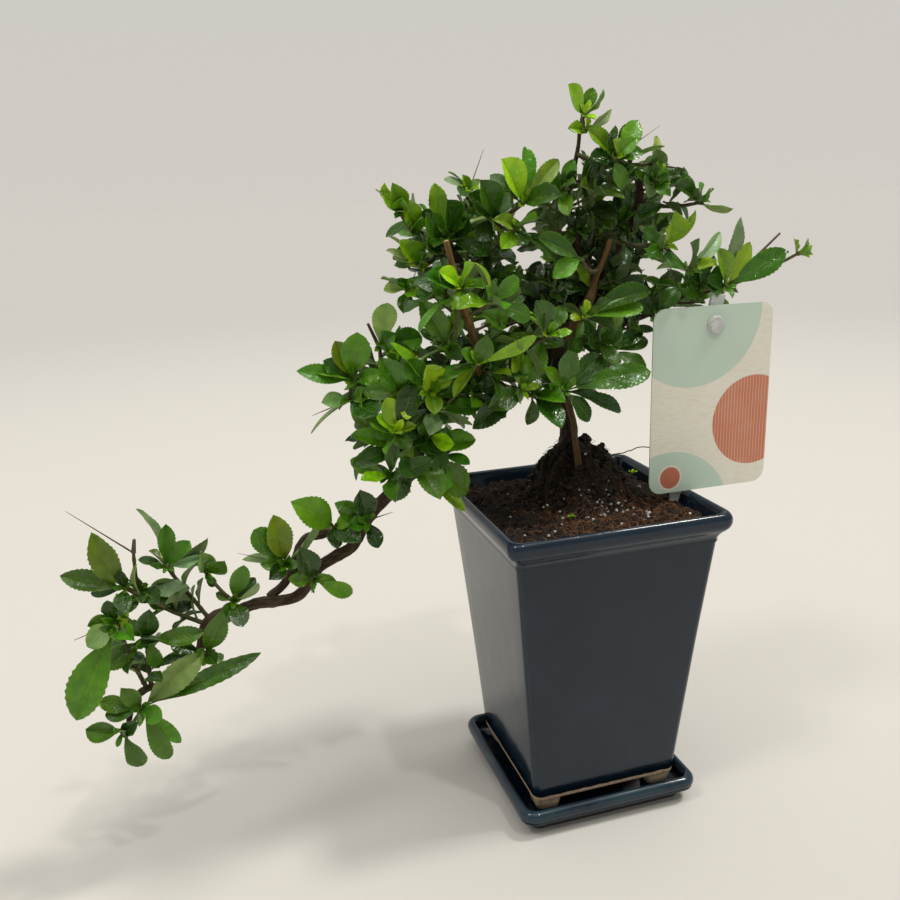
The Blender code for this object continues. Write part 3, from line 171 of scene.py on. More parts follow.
# ---- leafy sprays, as in the CAD apart from three leaves left off ----
# A rosette is (its centre), (the way its leaves' upper faces look), [leaves] and any [bare spikes and stubs].
# A leaf is (bearing clockwise from up, lean towards the facing, length, width, tone, roll about its midrib).
# A spike is (bearing, lean, length, diameter). Angles are in degrees, lengths in millimetres.
SPRAYS = {
    "far_left": [
        ((-241, -5, 161), (-0.2, -0.9, 0.4), [
            (-25, 35, 33, 14, "o"), (-70, 20, 30, 11, "g"), (-100, 0, 17, 5, "d"), (175, 45, 16, 9, "d"),
            (5, 50, 13, 7, "d")]),
        ((-235, 4, 155), (0, -0.7, 0.7), [
            (100, 10, 25, 10, "p"), (110, -10, 27, 13, "d"), (135, 0, 17, 9, "g"),
            (-145, -10, 13, 7, "g"), (150, 45, 21, 12, "d")]),
        ((-235, -4, 178), (0, -0.9, 0.4), [], [(10, 25, 7, 2.4), (-50, 25, 38, 0.9)]),
    ],
    "upper_fan": [
        ((-221, 2, 166), (0.1, -0.8, 0.5), [
            (-15, 30, 34, 8, "p", 60), (5, 40, 25, 9, "g"), (75, 35, 26, 8, "p", 55),
            (50, 40, 18, 10, "g"), (-35, 0, 12, 6, "o", 50), (-65, 15, 14, 6, "d", 30),
            (90, 35, 23, 6, "p", 20)]),
    ],
    "elbow_up": [
        ((-191, -4, 145), (0.1, -0.9, 0.4), [
            (15, 35, 22, 10, "g"), (70, 40, 18, 7, "p", 60), (55, 5, 16, 8, "d"), (-55, -15, 10, 5, "g"),
            (170, 50, 18, 10, "d"), (-145, 45, 16, 9, "d")]),
        ((-203, 2, 161), (0.3, -0.9, 0.2), [
            (45, 65, 19, 11, "g"), (-20, 45, 18, 10, "p"), (160, -15, 11, 5, "d")]),
    ],
    "under_left": [
        ((-234, -8, 134), (0, -0.9, 0.3), [
            (95, 10, 28, 10, "g"), (-45, 20, 21, 7, "g"), (15, 45, 19, 11, "d"), (165, -10, 17, 8, "g"),
            (-115, -10, 25, 11, "g"), (-35, -10, 13, 7, "g")]),
    ],
    "left_tuft": [
        ((-246, -14, 148), (-0.2, -0.9, 0.3), [
            (-90, 35, 14, 8, "g", 30), (-125, 55, 19, 11, "p"), (-5, 40, 14, 8, "d")], [(-110, 5, 21, 1.0)]),
        ((-246, -18, 147), (-0.3, -0.9, 0.2), [
            (-155, 5, 48, 19, "g")]),
    ],
    "tail_fan": [
        ((-240, -10, 99), (0, -0.9, 0.3), [
            (50, 20, 40, 14, "p"), (70, 10, 62, 10, "g"), (140, -10, 27, 7, "g"),
            (165, -10, 31, 10, "g"), (160, -25, 30, 6, "d"), (-30, 30, 16, 9, "o"),
            (-70, -5, 21, 9, "g"), (-95, -10, 18, 8, "g"), (120, 50, 17, 10, "g")]),
        ((-250, -12, 89), (-0.1, -0.9, 0.3), [
            (-65, 35, 19, 11, "g"), (160, -10, 21, 10, "g"), (60, 40, 14, 8, "d")]),
    ],
    "elbow": [
        ((-209, -4, 120), (0.2, -0.9, 0.3), [
            (30, 35, 28, 12, "g"), (120, -10, 11, 5, "p"), (155, 65, 14, 8, "d"), (-60, -15, 17, 8, "d")]),
    ],
    "mid_big": [
        ((-163, -6, 162), (0, -0.9, 0.4), [
            (-15, 30, 27, 14, "o"), (-40, 20, 26, 13, "g"), (40, 15, 27, 7, "p", 55),
            (-75, -5, 22, 7, "p", 40), (-85, 20, 14, 8, "g"), (-125, 40, 16, 9, "d"),
            (105, 50, 9, 5, "p")], [(-70, 5, 25, 0.8)]),
    ],
    "mid_dark": [
        ((-151, -12, 154), (0.1, -0.9, 0.3), [
            (-15, 35, 23, 13, "d"), (-80, 15, 14, 8, "g"), (100, 5, 12, 6, "g"), (125, 5, 22, 9, "g")],
         [(-175, -5, 7, 1.4)]),
    ],
    "loop_leaf": [
        ((-137, -2, 176), (-0.1, -0.8, 0.6), [
            (-60, 50, 30, 17, "o"), (85, 50, 14, 8, "o"), (-75, -5, 9, 5, "p", 50),
            (140, 45, 21, 12, "d"), (180, 35, 16, 9, "d")]),
    ],
    "gate": [
        ((-121, -6, 179), (0, -0.9, 0.4), [
            (-50, 10, 19, 9, "g"), (-70, 20, 18, 9, "g"), (-10, 45, 23, 13, "d"), (165, 20, 16, 9, "d"),
            (-20, 25, 14, 8, "d"), (-100, 25, 14, 8, "g")], [(80, 15, 14, 1.0)]),
    ],
    "pot_corner": [
        ((-95, -14, 211), (0.1, -0.9, 0.3), [
            (125, 10, 32, 17, "g"), (170, 40, 26, 15, "g"), (-140, -10, 24, 12, "d"),
            (-115, 45, 21, 12, "d"), (145, -10, 38, 7, "o")]),
        ((-95, -12, 217), (0, -0.8, 0.6), [
            (95, 5, 32, 12, "g"), (-80, 15, 33, 10, "g"), (-95, 0, 33, 10, "d"), (105, -25, 20, 9, "g")]),
    ],
    "knot": [
        ((-107, -24, 229), (0, -0.8, 0.6), [
            (-55, 35, 15, 7, "l"), (80, 20, 11, 5, "l"), (35, 40, 25, 12, "d"), (-70, 20, 17, 8, "g"),
            (170, 35, 16, 9, "d"), (-20, 45, 19, 11, "o")]),
        ((-101, -20, 246), (-0.3, -0.7, 0.6), [
            (-35, 60, 24, 14, "w"), (-90, 15, 20, 11, "g"), (-120, 20, 14, 8, "o")]),
    ],
    "lime_front": [
        ((-90, -28, 249), (0, -0.9, 0.4), [
            (-30, 65, 24, 14, "l"), (-45, 20, 31, 8, "l", 35), (-175, 30, 16, 9, "o"),
            (65, 0, 13, 6, "l"), (-40, 30, 21, 12, "w"), (35, 75, 14, 8, "g")]),
    ],
    "centre_star": [
        ((-68, -34, 261), (0.1, -0.8, 0.5), [
            (25, 60, 17, 10, "g"), (75, 25, 32, 8, "l", 45), (-95, 0, 22, 8, "g", 20),
            (-135, -20, 19, 7, "l", 40), (-60, 35, 14, 8, "g"), (65, 5, 18, 9, "g")]),
        ((-85, -20, 237), (0.1, -0.7, 0.7), [
            (105, 15, 22, 11, "g"), (-145, 10, 18, 10, "p"), (105, -20, 20, 10, "p")]),
    ],
    "low_pair": [
        ((-42, -26, 244), (0, -0.9, 0.4), [
            (-110, 15, 21, 12, "d"), (-115, -15, 31, 12, "d"), (-10, 30, 26, 7, "g", 40),
            (30, 30, 26, 12, "g"), (-10, 30, 22, 10, "o"), (75, 20, 10, 4, "l")]),
        ((-33, -18, 239), (0.2, -0.8, 0.5), [
            (175, 35, 25, 14, "w"), (-175, -40, 16, 9, "d"), (145, 55, 21, 12, "g")]),
    ],
    "left_fan": [
        ((-123, -6, 253), (-0.1, -0.9, 0.4), [
            (-20, 25, 22, 11, "o"), (-60, 25, 19, 10, "d"), (-75, 25, 20, 8, "g", 30),
            (-80, 15, 29, 10, "g"), (5, 50, 26, 15, "g"), (-10, 10, 18, 7, "g", 60), (95, 40, 16, 9, "g")]),
        ((-125, -4, 243), (-0.1, -0.8, 0.5), [
            (-100, 30, 16, 9, "p"), (-125, -15, 25, 7, "p", 65), (150, 35, 26, 15, "d"),
            (150, -20, 17, 7, "g", 50), (100, 50, 16, 9, "g")], [(-105, -15, 20, 1.0)]),
    ],
    "pale_back": [
        ((-106, 6, 266), (-0.2, -0.9, 0.3), [
            (10, 15, 23, 13, "p"), (65, 60, 19, 11, "w"), (50, -10, 16, 5, "p", 60),
            (75, -5, 23, 13, "g"), (105, 0, 19, 9, "l")], [(-25, 35, 15, 2.2)]),
    ],
    "left_low": [
        ((-92, -2, 295), (-0.2, -0.8, 0.5), [
            (-70, 25, 15, 5, "p", 65), (-60, 55, 9, 5, "d"), (-90, 5, 12, 6, "p"),
            (145, 40, 19, 11, "g"), (-170, 20, 14, 8, "d")], [(25, 0, 11, 1.0)]),
    ],
    "left_hand": [
        ((-85, 0, 306), (-0.2, -0.8, 0.5), [
            (-50, 40, 16, 9, "l"), (-20, 75, 18, 10, "o"), (-75, 25, 18, 8, "p", 35),
            (-95, 25, 13, 6, "p"), (-45, 20, 21, 6, "p", 65), (70, 80, 14, 8, "g")]),
    ],
    "left_tip": [
        ((-94, -2, 332), (-0.2, -0.9, 0.4), [
            (-30, 70, 19, 11, "l"), (145, 75, 12, 7, "l"), (-50, 50, 14, 8, "l"),
            (-55, 25, 16, 5, "p", 65), (15, 85, 16, 9, "g")]),
        ((-88, 0, 323), (0.1, -0.9, 0.3), [
            (-25, 50, 19, 11, "o"), (-5, 75, 14, 8, "g")]),
    ],
    "olive_tall": [
        ((-75, 2, 315), (0, -0.9, 0.3), [
            (0, 15, 29, 10, "o"), (-40, 50, 21, 12, "g"), (-30, 35, 23, 7, "g", 60),
            (-120, 50, 19, 11, "d")]),
        ((-70, 4, 318), (0.1, -0.9, 0.3), [
            (-35, 50, 24, 14, "d"), (20, 15, 18, 9, "g"), (40, 20, 26, 8, "g", 45), (85, 65, 18, 10, "d")]),
        ((-57, 4, 341), (-0.1, -0.8, 0.5), [
            (-45, 30, 14, 4, "p", 60), (-75, 35, 15, 6, "p", 20), (-25, 45, 9, 5, "l"),
            (75, 55, 9, 5, "p"), (-140, 45, 16, 9, "d")], [(25, 20, 22, 0.7)]),
    ],
    "front_left": [
        ((-76, -36, 295), (0, -0.8, 0.6), [
            (-75, 35, 17, 10, "l"), (105, 85, 18, 10, "l"), (-85, 20, 21, 12, "w"),
            (-160, 25, 14, 8, "g"), (140, 50, 14, 8, "g")]),
        ((-80, -30, 268), (-0.2, -0.9, 0.3), [
            (-25, 20, 29, 12, "g"), (10, 25, 20, 9, "g", 35)]),
    ],
    "round_dark": [
        ((-51, -14, 328), (-0.1, -0.9, 0.4), [
            (-40, 65, 25, 14, "d"), (-75, 50, 23, 13, "d"), (40, 60, 16, 9, "p"),
            (-115, 20, 15, 7, "p", 55), (-145, 10, 17, 10, "d")]),
        ((-44, -26, 322), (0.1, -0.8, 0.5), [
            (-75, 35, 16, 9, "o"), (-135, 15, 16, 9, "l"), (130, 0, 23, 9, "w"), (145, 75, 18, 10, "g"),
            (-170, 35, 14, 8, "d")]),
    ],
    "top_mid": [
        ((-39, -22, 334), (0, -0.9, 0.4), [
            (-45, 40, 26, 15, "l"), (45, 15, 29, 9, "o"), (15, 10, 21, 8, "l"), (-15, 15, 22, 8, "w"),
            (5, 15, 27, 10, "g", 25), (115, 60, 23, 13, "d"), (-40, -5, 21, 9, "d")]),
    ],
    "top_tip": [
        ((1, 0, 373), (0, -0.9, 0.4), [
            (-55, 45, 25, 14, "l"), (20, 15, 18, 9, "g"), (50, 15, 21, 7, "g", 65)]),
        ((1, 0, 366), (0.1, -0.9, 0.3), [
            (55, 15, 23, 7, "p", 35), (-90, 25, 16, 9, "l")]),
    ],
    "right_star": [
        ((14, -12, 354), (0, -0.9, 0.4), [
            (-50, 20, 21, 10, "l"), (-70, 65, 16, 9, "l"), (45, 10, 26, 11, "g"), (50, 30, 15, 8, "g"),
            (80, 15, 16, 9, "g"), (-100, 25, 16, 9, "d"), (-55, 50, 18, 10, "d"), (30, 0, 21, 7, "d"),
            (170, 0, 16, 9, "g")], [(60, 5, 32, 0.7)]),
        ((43, 4, 352), (0.3, -0.8, 0.4), [
            (30, 25, 15, 6, "p"), (-115, 65, 16, 9, "p"), (-155, 0, 21, 12, "p"), (-175, 20, 19, 11, "g")],
         [(105, 10, 22, 1.3)]),
    ],
    "big_dark": [
        ((11, 10, 331), (0.1, -0.9, 0.3), [
            (-30, 45, 32, 18, "d"), (-15, 30, 30, 9, "g", 50), (35, 45, 17, 8, "o", 40),
            (165, 30, 19, 9, "g"), (155, 50, 21, 12, "d")]),
    ],
    "front_centre": [
        ((-16, -40, 308), (-0.1, -0.8, 0.5), [
            (-75, 15, 25, 11, "d"), (-115, 5, 18, 10, "g")]),
    ],
    "shoulder": [
        ((74, 6, 331), (0.2, -0.8, 0.4), [
            (-45, 50, 14, 8, "g"), (105, 10, 23, 5, "p", 65), (-40, 5, 26, 13, "d"),
            (-70, 20, 21, 12, "d"), (-50, 75, 12, 7, "g")], [(60, 15, 13, 2.0)]),
    ],
    "right_lime": [
        ((40, -18, 311), (0, -0.9, 0.3), [
            (-15, 70, 26, 15, "l"), (55, 20, 24, 7, "l", 30), (-60, 20, 16, 9, "d"),
            (-120, 20, 16, 9, "g")]),
        ((52, -22, 298), (0.1, -0.8, 0.5), [
            (-65, 65, 26, 15, "d"), (55, 15, 32, 8, "p", 20), (70, 10, 20, 10, "o"),
            (140, 65, 18, 10, "o"), (-70, 15, 17, 9, "g"), (-70, -10, 16, 7, "p", 50)]),
    ],
    "far_right": [
        ((80, -14, 287), (0.1, -0.9, 0.3), [
            (-20, 25, 23, 12, "o"), (30, 25, 27, 10, "o"), (65, 20, 39, 14, "w"), (10, 15, 37, 9, "p"),
            (-70, 15, 14, 8, "d")], [(55, 10, 45, 1.8)]),
        ((121, -16, 302), (0.3, -0.8, 0.3), [
            (-30, 15, 9, 4, "o"), (50, 30, 9, 4, "p", 45), (45, 85, 9, 5, "l")]),
    ],
    "right_core": [
        ((69, 6, 284), (0.1, -0.9, 0.2), [
            (50, 65, 16, 9, "d"), (-170, 55, 16, 9, "d"), (-65, 25, 17, 10, "d"), (-100, 10, 16, 9, "g"),
            (-35, 45, 19, 11, "d")]),
    ],
    "stub_collar": [
        ((1, -12, 297), (0, -0.8, 0.6), [
            (-90, 10, 25, 11, "w"), (-50, 35, 18, 9, "l"), (80, 20, 23, 10, "w"),
            (80, 5, 32, 7, "l", 45), (-100, -15, 16, 9, "d")]),
    ],
    "right_glossy": [
        ((-8, -26, 278), (0.1, -0.7, 0.7), [
            (100, 20, 31, 13, "g"), (80, 20, 38, 12, "w"), (-95, 5, 9, 5, "l"), (125, 70, 19, 11, "d"),
            (115, -5, 17, 9, "d")]),
    ],
    "left_glossy": [
        ((-29, -30, 271), (-0.1, -0.8, 0.6), [
            (-35, 55, 23, 13, "w"), (-60, 35, 25, 8, "l", 40), (90, 10, 12, 5, "l"),
            (35, 15, 17, 9, "g"), (-90, -5, 26, 9, "g", 35)]),
    ],
    "bottom_star": [
        ((-19, -26, 242), (0.1, -0.8, 0.5), [
            (-5, 50, 23, 13, "d"), (90, 15, 46, 14, "w"), (110, -5, 35, 9, "d"), (-45, 30, 18, 8, "g"),
            (140, -10, 21, 11, "d"), (60, 15, 30, 13, "d"), (105, -10, 26, 8, "d"), (-65, 5, 18, 10, "d")]),
    ],
    "right_hang": [
        ((18, -4, 256), (0.1, -0.8, 0.5), [
            (-80, 10, 21, 11, "d"), (-180, 30, 10, 6, "d"), (130, 5, 22, 10, "g"), (85, 10, 25, 9, "g"),
            (-135, 20, 21, 12, "d"), (65, 10, 22, 9, "d")]),
    ],
}
# Behind the crown a rosette is only (its centre, the way it faces), and ruled_leaves fills it.
BACK_SPRAYS = {
    "back_left": [
        ((-39, 54, 295), (-0.3, 0.9, 0.3)), ((-29, 62, 310), (0.1, 0.8, 0.6)),
        ((-55, 46, 312), (-0.7, 0.5, 0.5)),
    ],
    "back_top": [
        ((7, 46, 310), (-0.2, 0.8, 0.6)), ((13, 42, 330), (0.0, 0.6, 0.8)),
        ((-11, 40, 338), (-0.4, 0.5, 0.8)),
    ],
    "back_right": [
        ((51, 58, 312), (0.3, 0.9, 0.3)), ((67, 50, 324), (0.6, 0.5, 0.6)),
        ((47, 46, 336), (0.2, 0.5, 0.8)),
    ],
    "back_low": [
        ((15, 42, 268), (0.1, 0.9, -0.1)), ((-3, 50, 256), (-0.3, 0.9, 0.2)),
        ((35, 50, 272), (0.5, 0.8, 0.1)),
    ],
}
BACK_LEAVES, BACK_LENGTH, BACK_WIDTH = 6, 25, 10
GOLDEN_ANGLE = 137.5
BUD_RADIUS = 1.8
# Turns and shortenings by which the CAD moved a leaf clear of its neighbours, in the order it tried them.
LEAF_TURNS = [(0, 0)] + [(side * step, rise * step) for step in (6, 12, 18, 24, 32)
                         for side, rise in ((0, 1), (1, 0), (-1, 0), (0, -1), (1, 1), (-1, 1))]
LEAF_SIZES = (1.0, 0.8, 0.62)
FOUND_WITHIN = 0.08         # between a leaf's tip and the CAD corner that shows it
ROSETTE_SHIFT = 24          # the steps of 1 mm by which the CAD tried to move a rosette


def ruled_leaves(count, length, width, start=0):
    """A full rosette: each leaf stands a golden angle on from the last and a little flatter."""
    leaves = []
    for k in range(count):
        share = k / (count - 1)
        leaves.append(((start + k * GOLDEN_ANGLE) % 360, 55 - 60 * share, length * (0.7 + 0.3 * share),
                       width * (0.75 + 0.25 * share), "lggdgd"[k % 6]))
    return leaves


# ---- meshes ----
class Shape:
    """Collects closed forms into one mesh; each point carries a place and a colour for the materials."""

    def __init__(self):
        self.points, self.places, self.colours = [], [], []
        self.faces, self.slots = [], []
        self.count = 0

    def add(self, points, faces, slot=0, place=(0, 0, 0), colour=(1, 1, 1, 1)):
        points = np.asarray(points, float)
        self.points.append(points)
        self.places.append(np.broadcast_to(np.asarray(place, float), (len(points), 3)))
        self.colours.append(np.broadcast_to(np.asarray(colour, float), (len(points), 4)))
        for group in faces:
            rows = (np.asarray(group) + self.count).tolist()
            self.faces += rows
            self.slots += [slot] * len(rows)
        self.count += len(points)

    def add_tube(self, rows, sides, slot, colour, relief=None):
        """A closed round tube along rows (x, y, z, radius)."""
        points, faces, places = tube(np.asarray(rows, float), sides, relief)
        self.add(points, faces, slot, places, colour)

    def build(self, name, materials, sharp=60):
        """The piece, with its points turned from millimetres to metres."""
        mesh = bpy.data.meshes.new(name)
        mesh.from_pydata((np.concatenate(self.points) * MM).tolist(), [], self.faces)
        for one in materials:
            mesh.materials.append(one)
        mesh.polygons.foreach_set("material_index", self.slots)
        place = mesh.attributes.new("place", "FLOAT_VECTOR", "POINT")
        place.data.foreach_set("vector", np.concatenate(self.places).astype(np.float32).ravel())
        colour = mesh.attributes.new("tint", "FLOAT_COLOR", "POINT")
        colour.data.foreach_set("color", np.concatenate(self.colours).astype(np.float32).ravel())
        mesh.update()
        mesh.shade_smooth()
        mesh.set_sharp_from_angle(angle=math.radians(sharp))
        obj = bpy.data.objects.new(name, mesh)
        bpy.context.scene.collection.objects.link(obj)
        return obj


def show(obj, slot, *nodes):
    """Makes the piece part of the object, in the place of these CAD nodes."""
    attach(obj, "root")
    if nodes:
        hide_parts(*nodes)
    return obj


def with_run_outs(stations):
    """The stations with one more before the first and after the last, straight on."""
    knots = np.asarray(stations, float)
    return np.vstack([2 * knots[0] - knots[1], knots, 2 * knots[-1] - knots[-2]])


def on_curve(knots, i, t):
    """The place a share t of the way from knot i to the next, on the smooth curve through all knots."""
    a, b, c, d = knots[i - 1:i + 3]
    return 0.5 * (2 * b + (c - a) * t + (2 * a - 5 * b + 4 * c - d) * t ** 2
                  + (3 * b - 3 * c + d - a) * t ** 3)


def smooth_path(stations, step):
    """Rows (x, y, z, radius) of a smooth curve through the stations, about one every step millimetres."""
    knots = with_run_outs(stations)
    rows = []
    for i in range(1, len(knots) - 2):
        count = max(1, round(float(np.linalg.norm((knots[i + 1] - knots[i])[:3])) / step))
        rows += [on_curve(knots, i, t) for t in np.arange(count) / count]
    rows = np.array([*rows, knots[-2]])
    rows[:, 3] = np.maximum(rows[:, 3], THINNEST_STEM)
    return rows


def ring_faces(sides, rings):
    """Quads between the rings, and a fan over each end round its middle point, which follow the rings."""
    ring = np.arange(sides)
    after = (ring + 1) % sides
    quads = np.concatenate([np.stack([ring + r, after + r, after + r + sides, ring + r + sides], 1)
                            for r in range(0, sides * (rings - 1), sides)])
    last, start = sides * (rings - 1), sides * rings
    caps = np.concatenate([np.stack([after, ring, np.full(sides, start)], 1),
                           np.stack([ring + last, after + last, np.full(sides, start + 1)], 1)])
    return [quads, caps]


def tube(rows, sides, relief=None):
    """Points, faces and places of a closed tube along rows (x, y, z, radius).

    relief(along, angle, centre) scales the radius. A place is (length along, angle round, radius).
    """
    centres, radii = rows[:, :3], rows[:, 3]
    heading = np.gradient(centres, axis=0)
    heading /= np.linalg.norm(heading, axis=1)[:, None]
    side = np.cross(heading[0], (0, 0, 1) if abs(heading[0][2]) < 0.9 else (0, 1, 0))
    along = np.concatenate([[0], np.cumsum(np.linalg.norm(np.diff(centres, axis=0), axis=1))])
    points, places = [], []
    for k, centre in enumerate(centres):
        side = side - heading[k] * (side @ heading[k])
        side /= np.linalg.norm(side)
        other = np.cross(heading[k], side)
        for j in range(sides):
            angle = 2 * math.pi * j / sides
            radius = radii[k] * (relief(along[k], angle, centre) if relief else 1.0)
            points.append(centre + (side * math.cos(angle) + other * math.sin(angle)) * radius)
            places.append((along[k], angle, radii[k]))
    points += [centres[0], centres[-1]]
    places += [(along[0], 0, radii[0]), (along[-1], 0, radii[-1])]
    return np.array(points), ring_faces(sides, len(centres)), np.array(places)


# ---- materials ----
class Graph:
    """Short calls that add shader nodes to a tree."""

    def __init__(self, tree):
        self.nodes, self.links = tree.nodes, tree.links

    def node(self, kind, inputs=None, **settings):
        made = self.nodes.new(kind)
        for key, value in settings.items():
            setattr(made, key, value)
        for key, value in (inputs or {}).items():
            self.put(value, made.inputs[key])
        return made

    def put(self, value, socket):
        """Links an output to the socket, or sets the socket's own value."""
        if isinstance(value, bpy.types.NodeSocket):
            self.links.new(value, socket)
        else:
            socket.default_value = value

    def position(self):
        return self.node("ShaderNodeTexCoord").outputs["Object"]

    def attribute(self, name, output="Vector"):
        return self.node("ShaderNodeAttribute", attribute_name=name).outputs[output]

    def tint(self):
        return self.attribute("tint", "Color")

    def tint_channels(self):
        return self.node("ShaderNodeSeparateColor", {0: self.tint()}).outputs

    def math(self, operation, *values):
        return self.node("ShaderNodeMath", dict(enumerate(values)), operation=operation).outputs[0]

    def times(self, first, second):
        return self.math("MULTIPLY", first, second)

    def times_add(self, first, second, third):
        return self.math("MULTIPLY_ADD", first, second, third)

    def split(self, vector):
        return self.node("ShaderNodeSeparateXYZ", {0: vector}).outputs

    def stretched(self, scale):
        """Object position scaled by three factors, for grain that runs one way."""
        made = self.node("ShaderNodeMapping", {"Vector": self.position()})
        made.inputs["Scale"].default_value = scale
        return made.outputs[0]

    def noise(self, scale, detail=3.0, roughness=0.5, vector=None):
        made = self.node("ShaderNodeTexNoise", {"Scale": scale, "Detail": detail, "Roughness": roughness})
        self.put(vector or self.position(), made.inputs["Vector"])
        return made.outputs["Fac"]

    def cells(self, scale):
        """How far the surface is from the nearest of many scattered points."""
        made = self.node("ShaderNodeTexVoronoi", {"Scale": scale, "Vector": self.position()})
        return made.outputs["Distance"]

    def ramp(self, value, *stops):
        """A colour ramp through (place, colour) stops."""
        made = self.node("ShaderNodeValToRGB", {"Fac": value})
        while len(made.color_ramp.elements) < len(stops):
            made.color_ramp.elements.new(0.5)
        for element, (place, colour) in zip(made.color_ramp.elements, stops):
            element.position = place
            element.color = (*colour, 1.0)
        return made.outputs["Color"]

    def step(self, value, low, high, start=0.0, end=1.0):
        """Rises smoothly from start to end as the value goes from low to high."""
        made = self.node("ShaderNodeMapRange", {"Value": value, "From Min": low, "From Max": high,
                                                "To Min": start, "To Max": end},
                         interpolation_type="SMOOTHSTEP")
        return made.outputs["Result"]

    def mix(self, factor, first, second, blend="MIX"):
        made = self.node("ShaderNodeMix", data_type="RGBA", blend_type=blend)
        self.put(factor, made.inputs["Factor"])
        for socket, value in ((made.inputs[6], first), (made.inputs[7], second)):
            self.put(value if isinstance(value, bpy.types.NodeSocket) else (*value, 1.0), socket)
        return made.outputs[2]


class Finish(Graph):
    """A Principled material whose sockets take constants or nodes."""

    def __init__(self, name, **constants):
        self.material = bpy.data.materials.new(name)
        self.material.use_nodes = True
        super().__init__(self.material.node_tree)
        self.shader = self.nodes["Principled BSDF"]
        for socket, value in constants.items():
            self.shader.inputs[socket.replace("_", " ")].default_value = value

    def set(self, socket, value):
        self.put(value, self.shader.inputs[socket])

    def bump(self, height, distance, strength):
        made = self.node("ShaderNodeBump", {"Height": height, "Distance": distance, "Strength": strength})
        self.set("Normal", made.outputs[0])


VEINS = 11                  # on each side of a leaf's midrib
VEIN_SLANT = 2.4            # how far a vein reaches forward, in spaces between veins


def leaf_finish():
    """Glossy, puckered and mottled above, matt grey-green below, with faint veins and a thin pale edge."""
    made = Finish("leaf", Specular_IOR_Level=0.46, Subsurface_Weight=0.06, Subsurface_Scale=0.0015)
    made.shader.inputs["Subsurface Radius"].default_value = (0.6, 1.0, 0.1)
    along, across, under = made.split(made.attribute("place"))
    tint = made.tint()
    gloss = made.attribute("tint", "Alpha")
    reach = made.math("ABSOLUTE", across)
    veins = made.times_add(reach, -VEIN_SLANT, made.times(along, VEINS))
    ridge = made.math("ABSOLUTE", made.math("SUBTRACT", made.math("FRACT", veins), 0.5))
    vein = made.times(made.step(ridge, 0.40, 0.5), made.step(reach, 0.9, 0.3))
    midrib = made.times(made.step(reach, 0.07, 0.015), made.step(along, 1.0, 0.5))
    mottle = made.step(made.noise(230, 3), 0.35, 0.68)
    light = made.mix(1.0, tint, (1.16, 1.08, 1.1), "MULTIPLY")
    dark = made.mix(1.0, tint, (0.78, 0.84, 0.76), "MULTIPLY")
    upper = made.mix(mottle, dark, light)
    upper = made.mix(made.times(made.step(made.noise(90, 2), 0.45, 0.75), 0.4), upper, dark)
    upper = made.mix(made.times(vein, 0.20), upper, (0.14, 0.24, 0.01))
    upper = made.mix(made.times(midrib, 0.34), upper, (0.24, 0.34, 0.04))
    edge = made.times(made.step(reach, 0.9, 1.0), 0.30)
    upper = made.mix(edge, upper, (0.22, 0.34, 0.04))
    lower = made.mix(0.62, tint, (0.200, 0.280, 0.115))
    ribs = made.times(made.math("MAXIMUM", vein, midrib), 0.5)
    lower = made.mix(ribs, lower, (0.33, 0.40, 0.19))
    made.set("Base Color", made.mix(under, upper, lower))
    speckle = made.step(made.noise(420, 2), 0.3, 0.7, -0.06, 0.08)
    made.set("Roughness", made.times_add(under, 0.26, made.math("ADD", gloss, speckle)))
    pucker = made.times(made.noise(320, 2), made.step(gloss, 0.45, 0.15, 0.4, 2.6))
    height = made.times_add(vein, -0.25, pucker)
    made.bump(made.times_add(midrib, -0.3, height), 0.0006, 0.55)
    return made.material


def twig_finish():
    """Green-brown and smooth when young, browner with bark flecks when old; the tint holds the age."""
    made = Finish("twig", Specular_IOR_Level=0.35)
    tint = made.tint()
    fleck = made.step(made.noise(900, 3), 0.52, 0.68)
    shade = made.mix(made.times(fleck, 0.5), tint, (0.16, 0.11, 0.07))
    dark = made.step(made.noise(240, 4, 0.6), 0.45, 0.7)
    made.set("Base Color", made.mix(made.times(dark, 0.6), shade, (0.03, 0.02, 0.013)))
    made.set("Roughness", made.step(made.noise(500), 0.3, 0.7, 0.5, 0.75))
    made.bump(made.noise(1500, 4, 0.6), 0.00015, 0.5)
    return made.material


def bark_finish():
    """Dark brown bark with long furrows, paler flakes and raised pores; the tint's red is 0 on fresh bark."""
    made = Finish("bark", Specular_IOR_Level=0.3)
    along, angle, _ = made.split(made.attribute("place"))
    length = made.times(along, 0.09)
    round_x = made.times(made.math("COSINE", angle), 1.6)
    round_y = made.times(made.math("SINE", angle), 1.6)
    grain_at = made.node("ShaderNodeCombineXYZ", {0: round_x, 1: round_y, 2: length}).outputs[0]
    furrow = made.noise(2.2, 6, 0.62, vector=grain_at)
    shade = made.ramp(furrow, (0.30, (0.009, 0.006, 0.005)), (0.48, OLD_BARK), (0.62, (0.060, 0.037, 0.026)),
                      (0.80, (0.125, 0.085, 0.062)))
    patch = made.step(made.noise(70, 3), 0.48, 0.66)
    shade = made.mix(made.times(patch, 0.45), shade, (0.10, 0.082, 0.062))
    pores = made.times(made.step(made.cells(620), 0.16, 0.05), made.step(made.noise(160, 2), 0.5, 0.6))
    shade = made.mix(made.times(pores, 0.7), shade, (0.26, 0.19, 0.13))
    fresh = made.ramp(furrow, (0.30, (0.085, 0.045, 0.018)), (0.55, FRESH_BARK), (0.80, (0.40, 0.25, 0.12)))
    age = made.tint_channels()[0]
    made.set("Base Color", made.mix(age, fresh, shade))
    made.set("Roughness", made.step(furrow, 0.3, 0.7, 0.85, 0.55))
    made.bump(made.times_add(pores, 0.35, furrow), 0.0006, 0.9)
    return made.material


